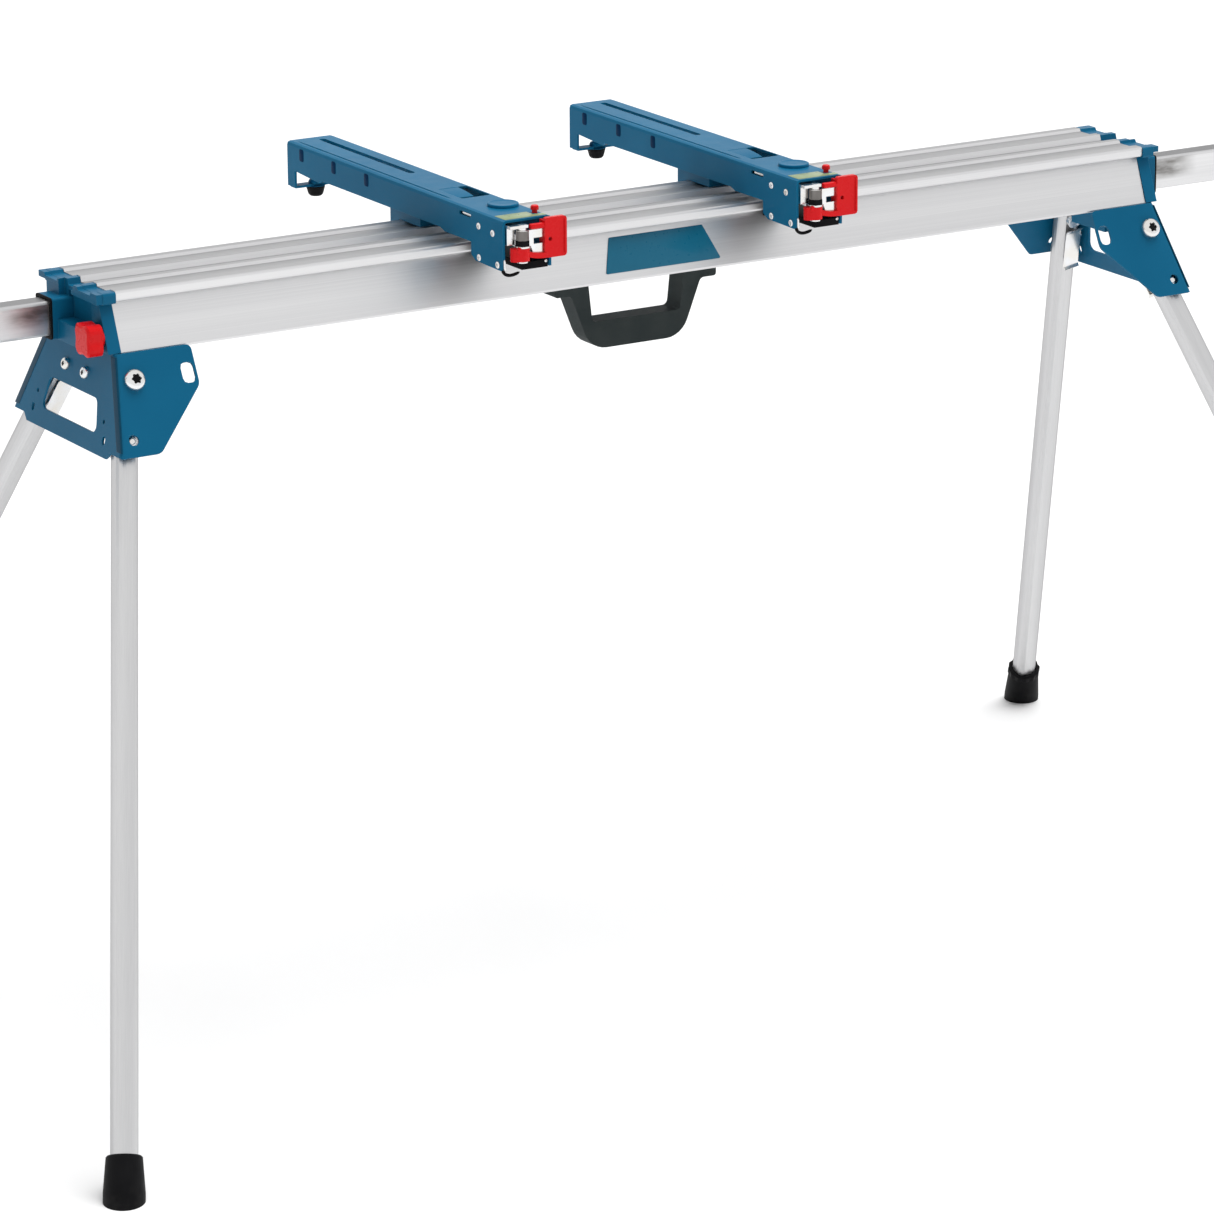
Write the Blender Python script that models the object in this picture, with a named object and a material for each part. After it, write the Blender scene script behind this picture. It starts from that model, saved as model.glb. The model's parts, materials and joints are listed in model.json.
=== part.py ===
"""A folding stand for a mitre saw: a long aluminium beam on four folding legs, two clamp-on arms that
carry the saw, and an extension bar with a work support at each end.

Metres, +Z up, +X along the beam, +Y to the back. The origin is on the floor under the beam's middle.
The two ends of the beam are the same parts turned half a turn about Z, so each is modelled once."""

import math

import bmesh
import bpy
from mathutils import Matrix, Vector

# General clearances and finish
GAP = 0.0003
RUNNING_GAP = 0.0005
OVERRUN = 0.010
ROUND_STEPS = 4
CIRCLE_STEPS = 16
MOST_ROUND_SHARE = 0.49

# Beam: an aluminium extrusion
BEAM_LENGTH = 1.240
DECK_HEIGHT = 0.790
DECK_WIDTH = 0.128
BEAM_DEPTH = 0.060
LIP_HEIGHT = 0.011
LIP_REACH = 0.011
WEB_SPREAD = 0.019
WEB_BEAD_HEIGHT = 0.0024
WEB_BEAD_WIDTH = 0.004
WEB_BEAD_ROUND = 0.0008
BEAM_WALL = 0.003
BEAM_EDGE_ROUND = 0.0025
OUTER_RIDGE = 0.012
INNER_RIDGE = 0.008
INNER_RIDGE_PLACE = 0.014
RIDGE_FLANK = 0.002
CHANNEL_DEPTH = 0.003
GUTTER_DEPTH = 0.006
BAR_RIB_PLACE = 0.0087

# Extension bars: rectangular tubes that slide side by side in the beam
BAR_DEPTH = 0.026
BAR_HEIGHT = 0.0355
BAR_PLACE = 0.0122
BAR_WALL = 0.002
BAR_ROUND = 0.003
BAR_PULLED_OUT = 0.320
BAR_KEPT_INSIDE = 0.420

# End caps: castings that close the beam
CAP_THICKNESS = 0.014
CAP_PROUD = 0.0015
CAP_SUNK = 0.0008
CAP_HOUSING_REACH = 0.0197
CAP_HOUSING_WALL = 0.0034
CAP_HOUSING_ROOF = 0.0028
CAP_ROOF_REACH = 0.007
CAP_FRONT_ROOF_DEPTH = 0.0105
CAP_REAR_ROOF_DEPTH = 0.0065
CAP_NOTCH_FROM = 0.008
CAP_REAR_ROOF_FROM = 0.020
CAP_NECK_REAR = 0.048
CAP_RECESS = 0.004
CAP_RECESS_FRONT = 0.039
CAP_STEP_FRONT = 0.033
CAP_STEP_HEIGHT = 0.0205
CAP_STEP_REACH = 0.014
CAP_SPIGOT_LENGTH = 0.020
COLLAR_THICKNESS = 0.0018

# Clamp knob on each end cap
KNOB_RADIUS = 0.0195
KNOB_LOBE_DEPTH = 0.0052
KNOB_EDGE = 0.0032
KNOB_THICKNESS = 0.021
KNOB_FROM_CENTRE = 0.0575
KNOB_ABOVE_FOOT = 0.014
KNOB_HUB_RADIUS = 0.010
KNOB_SHAFT_RADIUS = 0.004
KNOB_STEPS = 40

# Leg brackets: bent sheet steel under each end of the beam
BRACKET_SHEET = 0.0025
BRACKET_BEND = 0.005
FLANGE_STAND_OFF = 0.003
FLANGE_SLOPE_DEG = 27.0
END_PLATE_PLACE = 0.008
END_PLATE_SLOPE = 0.21
BRACKET_DROP = 0.093
END_PLATE_DROP = 0.100
FLANGE_REACH = 0.0825
FLANGE_SHORT_DROP = 0.037
FLANGE_CORNER_ROUND = 0.010
FLANGE_FOOT_REACH = 0.034
WINDOW_TOP_DROP = 0.048
WINDOW_FOOT_DROP = 0.081
WINDOW_TOP_WIDTH = 0.106
WINDOW_FOOT_WIDTH = 0.124
WINDOW_ROUND = 0.007
PLATE_NOTCH_PLACE = 0.089
PLATE_NOTCH_WIDTH = 0.008
PLATE_EYE_RADIUS = 0.0023
PLATE_EYE_PLACE = 0.074
PLATE_EYE_DROP = 0.0665
PLATE_SLOT_LENGTH = 0.009
PLATE_SLOT_WIDTH = 0.006
PLATE_SLOT_PLACE = 0.0795
PLATE_SLOT_DROP = 0.084

# Mount blocks: they hold the brackets to the underside of the beam
BLOCK_WIDTH = 0.062
BLOCK_LENGTH = 0.032
BLOCK_DROP = 0.038
BLOCK_BOLT_PLACE = 0.0215
BLOCK_BOLT_DROP = 0.029
BLOCK_BOLT_RADIUS = 0.003
BLOCK_BOLT_HEAD = 0.0062
BLOCK_BOLT_DOME = 0.004

# Legs: square aluminium tubes with round corners, that fold in planes parallel to the bracket flanges
PIVOT_INBOARD = 0.0055
PIVOT_DROP = 0.02525
LEG_SPLAY_DEG = 14.4
LEG_WIDTH = 0.025
LEG_CORNER = 0.0095
LEG_WALL = 0.002
LEG_FLANGE_CLEARANCE = 0.009
LEG_END_LIFT = 0.014
PIVOT_RADIUS = 0.0045
PIVOT_HEAD_RADIUS = 0.011
PIVOT_DOME = 0.0055
PIVOT_NUT_RADIUS = 0.008
PIVOT_NUT_HEIGHT = 0.006
PIVOT_SPACER_RADIUS = 0.0085

# Leg locks: a spring pin with a pull plate on each leg
LOCK_FROM_PIVOT = 0.061
LOCK_PIN_RADIUS = 0.0045
LOCK_HOLE_RADIUS = 0.0055
LOCK_TIP_ROUND = 0.0022
FOLD_HOLE_INBOARD = 0.0595
FOLD_HOLE_WIDTH = 0.014
FOLD_HOLE_HEIGHT = 0.021
PULL_PLATE_WIDTH = 0.018
PULL_PLATE_RISE = 0.0505
PULL_PLATE_TAIL = 0.004
PULL_PLATE_SHEET = 0.002
PULL_PLATE_STAND_OFF = 0.004
PULL_PLATE_KICK = 0.003

# Feet: rubber cups over the ends of the legs
FOOT_LENGTH = 0.0435
LEVEL_FOOT_LENGTH = 0.055
FOOT_TOP_RADIUS = 0.0178
FOOT_SOLE_RADIUS = 0.0205
FOOT_SOLE_HEIGHT = 0.008
FOOT_RIM = 0.0015
FOOT_COLLAR = 0.007
FOOT_COLLAR_PROUD = 0.0008
FOOT_COLLAR_WAVES = 12
FOOT_STEPS = 48

# Carry handle under the middle of the beam
HANDLE_DEPTH = 0.027
HANDLE_PLACE = 0.012
HANDLE_FOOT_WIDTH = 0.196
HANDLE_FOOT_DROP = 0.023
HANDLE_ARM_WIDTH = 0.158
HANDLE_GRIP_WIDTH = 0.111
HANDLE_DROP = 0.083
HANDLE_OPENING_TOP = 0.119
HANDLE_OPENING_FOOT = 0.107
HANDLE_OPENING_DROP = 0.054
HANDLE_CORNER = 0.028
HANDLE_INNER_ROUND = 0.006
HANDLE_EDGE_ROUND = 0.003

# Mounting arms: bent channels clamped across the beam
ARM_PLACES = (-0.234, 0.115)
ARM_NAMES = ("left", "right")
ARM_WIDTH = 0.056
ARM_ABOVE_DECK = 0.040
ARM_SHEET = 0.0025
ARM_BEND = 0.004
ARM_SIDE = 0.030
ARM_BACK = 0.302
ARM_FRONT = 0.154
ARM_NOSE_LENGTH = 0.064
ARM_NOSE_SIDE = 0.052
ARM_TAIL_LENGTH = 0.016
ARM_TAIL_SIDE = 0.048
ARM_TAIL_OPENING = 0.054
ARM_SHOULDER = 0.003
ARM_STRAP_SHEET = 0.0025
ARM_STRAP_DEPTH = 0.012
ARM_SLOT_WIDTH = 0.0075
ARM_SLOT_PLACE = 0.0345
ARM_SLOT_BACK = 0.012
ARM_SLOT_LENGTH = 0.200
ARM_SIDE_SLOT_WIDTH = 0.005
ARM_SIDE_SLOT_LENGTH = 0.0115
ARM_SIDE_SLOT_DROP = 0.0105
ARM_SIDE_SLOT_FIRST = 0.032
ARM_SIDE_SLOT_STEP = 0.071
ARM_SIDE_SLOTS = 3
ARM_NOSE_SLOT_LENGTH = 0.024
ARM_NOSE_SLOT_WIDTH = 0.004
ARM_NOSE_SLOT_PLACE = 0.0755
ARM_NOSE_SLOT_DROP = 0.0068
ARM_WINDOW_WIDTH = 0.034
ARM_WINDOW_LENGTH = 0.050
ARM_WINDOW_FRONT = 0.112

# Jaws that grip the two lips of the deck
JAW_THICKNESS = 0.018
JAW_HOOK = 0.006
JAW_HOOK_DROP = 0.0055
JAW_PAD = 0.045
FRONT_JAW_WIDTH = 0.030
FRONT_JAW_PLACE = 0.020
FRONT_JAW_BAR = 0.0075
BUMPER_RADIUS = 0.010
BUMPER_HEIGHT = 0.011
BUMPER_TAPER = 0.002

# Clamp lever at the front of each arm
LEVER_PIN_PLACE = 0.019
LEVER_PIN_REACH = 0.006
LEVER_PIN_RADIUS = 0.0045
LEVER_PIN_HEAD = 0.0055
LEVER_PIN_TOP = 0.004
LEVER_PIN_FOOT = 0.0433
CAM_TOP = 0.010
CAM_FOOT = 0.035
CAM_BARREL_FOOT = 0.027
CAM_BORE_WALL = 0.002
CAM_THICKNESS = 0.006
CAM_REACH = 0.0225
CAM_NOTCH_REACH = 0.011
CAM_NOTCH_TOP = 0.019
CAM_NOTCH_FOOT = 0.025
LUG_SHEET = 0.003
GRIP_WIDTH = 0.0255
GRIP_TOP = -0.0005
GRIP_FOOT = 0.0405
GRIP_THICKNESS = 0.005
GRIP_SIDE = 0.012
GRIP_LIP = 0.003
GRIP_EYE_RADIUS = 0.0022
GRIP_TAIL_THICKNESS = 0.003
GRIP_TAIL_RADIUS = 0.060
GRIP_TAIL_WIDTH = 0.0055
GRIP_TAIL_SWEEP_DEG = 33.0
GRIP_HUB_RADIUS = 0.0075
GRIP_HUB_TOP = 0.0280
GRIP_HUB_FOOT = 0.0412
GRIP_NOSE_REACH = 0.008
GRIP_NOSE_RADIUS = 0.0055
BUTTON_RADIUS = 0.0042
BUTTON_HEIGHT = 0.0045
BUTTON_STEM_RADIUS = 0.0028
BUTTON_TRAVEL = 0.003
BUTTON_PLACE = 0.047
BUTTON_FROM_FRONT = 0.017

# Work supports at the outer ends of the bars
HEAD_LENGTH = 0.050
HEAD_WALL = 0.009
HEAD_ROUND = 0.006
HEAD_SOCKET_HEIGHT = 0.030
POST_RADIUS = 0.010
POST_LENGTH = 0.150
SUPPORT_ABOVE_ARMS = 0.070
SUPPORT_LENGTH = 0.180
SUPPORT_WIDTH = 0.036
SUPPORT_THICKNESS = 0.012
SUPPORT_ROUND = 0.004
STOP_WIDTH = 0.050
STOP_HEIGHT = 0.046
STOP_SHEET = 0.004
STOP_KNUCKLE_RADIUS = 0.005
STOP_KNUCKLE_BORE = 0.0022
STOP_PIN_RADIUS = 0.0018
STOP_EAR = 0.006

# Places that several parts share, worked out from the sizes above
BEAM_END = BEAM_LENGTH / 2
DECK_HALF = DECK_WIDTH / 2
BEAM_FOOT = DECK_HEIGHT - BEAM_DEPTH
LIP_FOOT = DECK_HEIGHT - LIP_HEIGHT
WEB_TOP_HALF = DECK_HALF - LIP_REACH
WEB_FOOT_HALF = WEB_TOP_HALF + WEB_SPREAD
WEB_SLOPE = WEB_SPREAD / (LIP_FOOT - BEAM_FOOT)
CAVITY_TOP = DECK_HEIGHT - GUTTER_DEPTH - BEAM_WALL
CAVITY_FOOT = BEAM_FOOT + BEAM_WALL
BAR_FOOT = CAVITY_FOOT + RUNNING_GAP
BAR_TOP = BAR_FOOT + BAR_HEIGHT
CAP_FACE = BEAM_END + GAP + CAP_THICKNESS
HOUSING_FACE = CAP_FACE + CAP_HOUSING_REACH
COLLAR_FACE = HOUSING_FACE + GAP + COLLAR_THICKNESS
KNOB_HEIGHT = BEAM_FOOT + KNOB_ABOVE_FOOT
FLANGE_SLOPE = math.radians(FLANGE_SLOPE_DEG)
LEG_SPLAY = math.radians(LEG_SPLAY_DEG)
FLANGE_HALF = WEB_FOOT_HALF + FLANGE_STAND_OFF
PIVOT_X = BEAM_END - PIVOT_INBOARD
PIVOT_Z = BEAM_FOOT - PIVOT_DROP
LEG_DEPTH = BRACKET_SHEET + LEG_FLANGE_CLEARANCE + LEG_WIDTH / 2
ARM_TOP = DECK_HEIGHT + ARM_ABOVE_DECK
ARM_UNDERSIDE = ARM_TOP - ARM_SIDE
SUPPORT_TOP = ARM_TOP + SUPPORT_ABOVE_ARMS
BAR_OUTER_END = COLLAR_FACE + BAR_PULLED_OUT
BAR_CENTRE = BAR_PLACE + BAR_DEPTH / 2
STOP_PIN_X = SUPPORT_WIDTH / 2 + STOP_KNUCKLE_RADIUS + RUNNING_GAP
HALF_TURN = Matrix.Rotation(math.pi, 4, "Z")


def clear_scene():
    for obj in list(bpy.data.objects):
        bpy.data.objects.remove(obj, do_unlink=True)


def finish(name, colour, roughness, metallic=0.0):
    """A Principled material in the part's colour."""
    material = bpy.data.materials.new(name)
    material.use_nodes = True
    shader = material.node_tree.nodes["Principled BSDF"]
    shader.inputs["Base Color"].default_value = (*colour, 1.0)
    shader.inputs["Roughness"].default_value = roughness
    shader.inputs["Metallic"].default_value = metallic
    material.diffuse_color = (*colour, 1.0)
    return material


def part(name, shape, material, place=None, smooth=math.radians(35)):
    """Puts a bmesh into the scene as one object, and frees it."""
    bmesh.ops.recalc_face_normals(shape, faces=shape.faces)
    mesh = bpy.data.meshes.new(name)
    shape.to_mesh(mesh)
    shape.free()
    mesh.shade_smooth()
    mesh.set_sharp_from_angle(angle=smooth)
    mesh.materials.append(material)
    obj = bpy.data.objects.new(name, mesh)
    bpy.context.scene.collection.objects.link(obj)
    obj.matrix_world = place or Matrix.Identity(4)
    return obj


def turned_copy(obj, name, turn=HALF_TURN):
    """The same part at the other end: its own object, which shares the mesh and the modifiers."""
    copy = obj.copy()
    copy.name = name
    copy.matrix_world = turn @ obj.matrix_world
    bpy.context.scene.collection.objects.link(copy)
    return copy


def combine(obj, shape, operation="DIFFERENCE"):
    """Cuts a shape from an object, or joins it on, with a Boolean whose tool isn't rendered."""
    tool = part(f"{obj.name}_{operation.lower()}_{len(obj.modifiers)}", shape, obj.data.materials[0])
    tool.matrix_world = obj.matrix_world
    tool.hide_render = True
    tool.display_type = "WIRE"
    boolean = obj.modifiers.new(operation.title(), "BOOLEAN")
    boolean.operation = operation
    boolean.solver = "EXACT"
    boolean.object = tool
    return tool


def apply_modifiers(obj):
    """Bakes the modifiers into the mesh, so that copies can share it, and drops their tools."""
    tools = [m.object for m in obj.modifiers if m.type == "BOOLEAN"]
    graph = bpy.context.evaluated_depsgraph_get()
    mesh = bpy.data.meshes.new_from_object(obj.evaluated_get(graph))
    obj.modifiers.clear()
    obj.data = mesh
    for tool in tools:
        bpy.data.objects.remove(tool, do_unlink=True)
    return obj


def axes(origin, x, y):
    """A matrix that puts the XY plane of an outline at origin, along x and y."""
    x = Vector(x).normalized()
    z = x.cross(Vector(y)).normalized()
    y = z.cross(x)
    matrix = Matrix((x, y, z)).transposed().to_4x4()
    matrix.translation = Vector(origin)
    return matrix


# Outlines that run across the beam are drawn as (y, z), and swept along +X
ACROSS = axes((0, 0, 0), (0, 1, 0), (0, 0, 1))
# Outlines seen from the front are drawn as (x, z), and swept along -Y
FROM_FRONT = axes((0, 0, 0), (1, 0, 0), (0, 0, 1))


def circle(radius, centre=(0, 0), steps=CIRCLE_STEPS):
    angles = [math.tau * i / steps for i in range(steps)]
    return [(centre[0] + radius * math.cos(a), centre[1] + radius * math.sin(a)) for a in angles]


def egg(radius, reach, tip):
    """A circle drawn out towards -X to a smaller round tip, whose middle lies at reach."""
    lean = math.acos((tip - radius) / reach)
    spread = [lean * (2 * i / CIRCLE_STEPS - 1) for i in range(CIRCLE_STEPS + 1)]
    wide = [(radius * math.cos(angle), radius * math.sin(angle)) for angle in spread]
    rest = [math.pi + (math.pi - lean) * (2 * i / ROUND_STEPS - 1) for i in range(ROUND_STEPS + 1)]
    return wide + [(tip * math.cos(angle) - reach, tip * math.sin(angle)) for angle in rest]


def rectangle(left, foot, right, top):
    return [(left, foot), (right, foot), (right, top), (left, top)]


def rounded(points, radius, steps=ROUND_STEPS):
    """The outline with each corner replaced by an arc. A corner's radius is limited by its sides."""
    radii = radius if isinstance(radius, (list, tuple)) else [radius] * len(points)
    outline = []
    for i, corner in enumerate(points):
        here = Vector(corner)
        back = Vector(points[i - 1]) - here
        on = Vector(points[(i + 1) % len(points)]) - here
        half = back.angle(on) / 2
        straight = abs(half - math.pi / 2) < math.radians(1)
        if radii[i] == 0 or straight:
            outline.append(tuple(here))
            continue
        reach = min(radii[i] / math.tan(half), back.length * MOST_ROUND_SHARE, on.length * MOST_ROUND_SHARE)
        inside = reach * math.tan(half)
        centre = here + (back.normalized() + on.normalized()).normalized() * (inside / math.sin(half))
        start = here + back.normalized() * reach - centre
        end = here + on.normalized() * reach - centre
        turn = start.angle_signed(end)
        for k in range(steps + 1):
            spoke = start.copy()
            spoke.rotate(Matrix.Rotation(-turn * k / steps, 2))
            outline.append(tuple(centre + spoke))
    return outline


def fill(shape, matrix, outline, holes=()):
    """Adds one flat face, with holes, to a bmesh, as triangles."""
    edges = []
    for loop in (outline, *holes):
        corners = [shape.verts.new(matrix @ Vector((x, y, 0))) for x, y in loop]
        edges += [shape.edges.new(pair) for pair in zip(corners, corners[1:] + corners[:1])]
    normal = matrix.to_3x3() @ Vector((0, 0, 1))
    made = bmesh.ops.triangle_fill(shape, use_beauty=True, edges=edges, normal=normal)
    return [item for item in made["geom"] if isinstance(item, bmesh.types.BMFace)]


def prism(matrix, outline, start, end, holes=(), shape=None):
    """An outline with holes, swept square to its plane from start to end."""
    shape = shape or bmesh.new()
    base = matrix @ Matrix.Translation((0, 0, start))
    faces = fill(shape, base, outline, holes)
    swept = bmesh.ops.extrude_face_region(shape, geom=faces)
    moved = [item for item in swept["geom"] if isinstance(item, bmesh.types.BMVert)]
    along = matrix.to_3x3() @ Vector((0, 0, end - start))
    bmesh.ops.translate(shape, verts=moved, vec=along)
    return shape


def turned(matrix, profile, steps=CIRCLE_STEPS, shape=None):
    """A profile of (radius, height) points from axis to axis, turned about the matrix's Z axis."""
    shape = shape or bmesh.new()
    rings = []
    for radius, height in profile:
        if radius == 0:
            rings.append([shape.verts.new(matrix @ Vector((0, 0, height)))])
            continue
        ring = circle(radius, steps=steps)
        rings.append([shape.verts.new(matrix @ Vector((x, y, height))) for x, y in ring])
    skin(shape, rings)
    return shape


def skin(shape, rings):
    """Faces between one ring of points and the next. A ring of one point closes to it."""
    for low, high in zip(rings, rings[1:]):
        count = max(len(low), len(high))
        for i in range(count):
            j = (i + 1) % count
            if len(low) == 1:
                shape.faces.new((low[0], high[j], high[i]))
            elif len(high) == 1:
                shape.faces.new((low[i], low[j], high[0]))
            else:
                shape.faces.new((low[i], low[j], high[j], high[i]))


def loft(matrix, sections, shape=None):
    """Closed sections of (points, height), joined in order and capped at both ends."""
    shape = shape or bmesh.new()
    rings = [
        [shape.verts.new(matrix @ Vector((x, y, height))) for x, y in points]
        for points, height in sections
    ]
    skin(shape, rings)
    shape.faces.new(rings[0][::-1])
    shape.faces.new(rings[-1])
    return shape


def bend(shape, first, corner, last, steps=ROUND_STEPS):
    """The rounded strip of a bent sheet. Each argument is the pair of points at the two ends of the bend:
    where it leaves one flat, the sharp corner, and where it meets the other flat."""
    curves = []
    for a, b, c in zip(first, corner, last):
        curve = []
        for k in range(steps + 1):
            t = k / steps
            curve.append(shape.verts.new(a * (1 - t) ** 2 + b * 2 * t * (1 - t) + c * t**2))
        curves.append(curve)
    for k in range(steps):
        shape.faces.new((curves[0][k], curves[1][k], curves[1][k + 1], curves[0][k + 1]))


def close_sheet(shape, outward):
    """Welds the flats and bends of a sheet and turns its faces the way that outward(point) says."""
    bmesh.ops.remove_doubles(shape, verts=shape.verts, dist=GAP / 100)
    bmesh.ops.recalc_face_normals(shape, faces=shape.faces)
    shape.faces.ensure_lookup_table()
    votes = sum(f.normal.dot(outward(f.calc_center_median())) * f.calc_area() for f in shape.faces)
    if votes < 0:
        bmesh.ops.reverse_faces(shape, faces=shape.faces)


def sheet_part(name, shape, material, thickness):
    """A part made of sheet: the faces drawn are its outside, and the thickness goes inwards."""
    mesh = bpy.data.meshes.new(name)
    shape.to_mesh(mesh)
    shape.free()
    mesh.materials.append(material)
    obj = bpy.data.objects.new(name, mesh)
    bpy.context.scene.collection.objects.link(obj)
    solid = obj.modifiers.new("Sheet", "SOLIDIFY")
    solid.thickness = thickness
    solid.offset = -1
    solid.use_even_offset = True
    return obj


def round_edges(obj, width, angle=math.radians(40), segments=2):
    bevel = obj.modifiers.new("Edges", "BEVEL")
    bevel.width = width
    bevel.segments = segments
    bevel.limit_method = "ANGLE"
    bevel.angle_limit = angle
    return obj


# Beam

def deck_points(low, high, proud=0.0, sunk=0.0):
    """The top surface of the deck from y = low to y = high, as (y, z): four ridges with channels between."""
    inner_edge = DECK_HALF - OUTER_RIDGE
    ridge_out = INNER_RIDGE_PLACE + INNER_RIDGE
    top = DECK_HEIGHT - sunk
    half = [
        (INNER_RIDGE_PLACE - RIDGE_FLANK, top - GUTTER_DEPTH),
        (INNER_RIDGE_PLACE, top),
        (ridge_out, top),
        (ridge_out + RIDGE_FLANK, top - CHANNEL_DEPTH),
        (inner_edge - RIDGE_FLANK, top - CHANNEL_DEPTH),
        (inner_edge, top),
        (DECK_HALF + proud, top),
    ]
    line = [(-y, z) for y, z in reversed(half)] + half

    def height_at(y):
        for (y0, z0), (y1, z1) in zip(line, line[1:]):
            if y0 <= y <= y1:
                return z0 + (z1 - z0) * (y - y0) / (y1 - y0)
        return top

    between = [(y, z) for y, z in line if low < y < high]
    return [(low, height_at(low)), *between, (high, height_at(high))]


def beam_outline(proud=0.0, sunk=0.0):
    """The beam's outer section as (y, z), from the front foot round the top to the rear foot. An end cap's
    is a little proud of it at the sides, and a little sunk on top."""
    edge = DECK_HALF + proud
    front = [
        (-WEB_FOOT_HALF - proud, BEAM_FOOT),
        (-WEB_TOP_HALF - proud, LIP_FOOT - proud),
        (-edge, LIP_FOOT - proud),
    ]
    top = deck_points(-edge, edge, proud, sunk)
    rear = [(-y, z) for y, z in reversed(front)]
    points = front + top + rear
    radii = [0, 0, BEAM_EDGE_ROUND] + [0] * len(top) + [BEAM_EDGE_ROUND, 0, 0]
    radii[3] = radii[2 + len(top)] = BEAM_EDGE_ROUND
    return rounded(points, radii, steps=2)


def web_inside(z):
    """How far the inner face of a web stands from the middle at height z."""
    return WEB_TOP_HALF + (LIP_FOOT - z) * WEB_SLOPE - BEAM_WALL * math.hypot(1, WEB_SLOPE)


def make_beam(aluminium):
    """The extrusion: each bar has its own box, with a hollow over it and one beside it under the lip. Each
    web ends in a bead that stands a little below the beam's foot."""
    box_near = BAR_RIB_PLACE + BEAM_WALL
    box_far = BAR_PLACE + BAR_DEPTH + RUNNING_GAP
    box_top = BAR_TOP + RUNNING_GAP
    side_near = box_far + BEAM_WALL
    box = rectangle(box_near, CAVITY_FOOT, box_far, box_top)
    over = rectangle(box_near, box_top + BEAM_WALL, box_far, CAVITY_TOP)
    side = [
        (side_near, CAVITY_FOOT),
        (web_inside(CAVITY_FOOT), CAVITY_FOOT),
        (web_inside(LIP_FOOT), LIP_FOOT),
        (web_inside(LIP_FOOT), CAVITY_TOP),
        (side_near, CAVITY_TOP),
    ]
    middle = rectangle(-BAR_RIB_PLACE, CAVITY_FOOT, BAR_RIB_PLACE, CAVITY_TOP)
    hollows = [middle]
    for hollow in (box, over, side):
        hollows += [hollow, [(-y, z) for y, z in reversed(hollow)]]
    bead_foot = BEAM_FOOT - WEB_BEAD_HEIGHT
    bead_inside = WEB_FOOT_HALF - WEB_BEAD_WIDTH
    bead = [
        (-bead_inside, BEAM_FOOT),
        (-bead_inside, bead_foot),
        (-WEB_FOOT_HALF, bead_foot),
        (-WEB_FOOT_HALF, BEAM_FOOT),
    ]
    bead = rounded(bead, [0, WEB_BEAD_ROUND, WEB_BEAD_ROUND, 0], steps=2)
    outline = bead + beam_outline()[1:-1] + [(-y, z) for y, z in reversed(bead)]
    shape = prism(ACROSS, outline, -BEAM_END, BEAM_END, hollows)
    return part("beam_profile", shape, aluminium)


# End caps, their collars and knobs. The left end is drawn: its bar leaves through the rear half.

def outward(near, far):
    """A sweep along X at the left end, from near the beam to far from it."""
    return -far, -near


def bar_outline(spare=0.0):
    return rectangle(BAR_PLACE - spare, BAR_FOOT - spare, BAR_PLACE + BAR_DEPTH + spare, BAR_TOP + spare)


def housing_outline():
    """The outside of the casting round a bar, which stops level with the beam's foot."""
    side = RUNNING_GAP + CAP_HOUSING_WALL
    top = BAR_TOP + RUNNING_GAP + CAP_HOUSING_ROOF
    return rounded(rectangle(BAR_PLACE - side, BEAM_FOOT + GAP, BAR_PLACE + BAR_DEPTH + side, top), BAR_ROUND)


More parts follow.
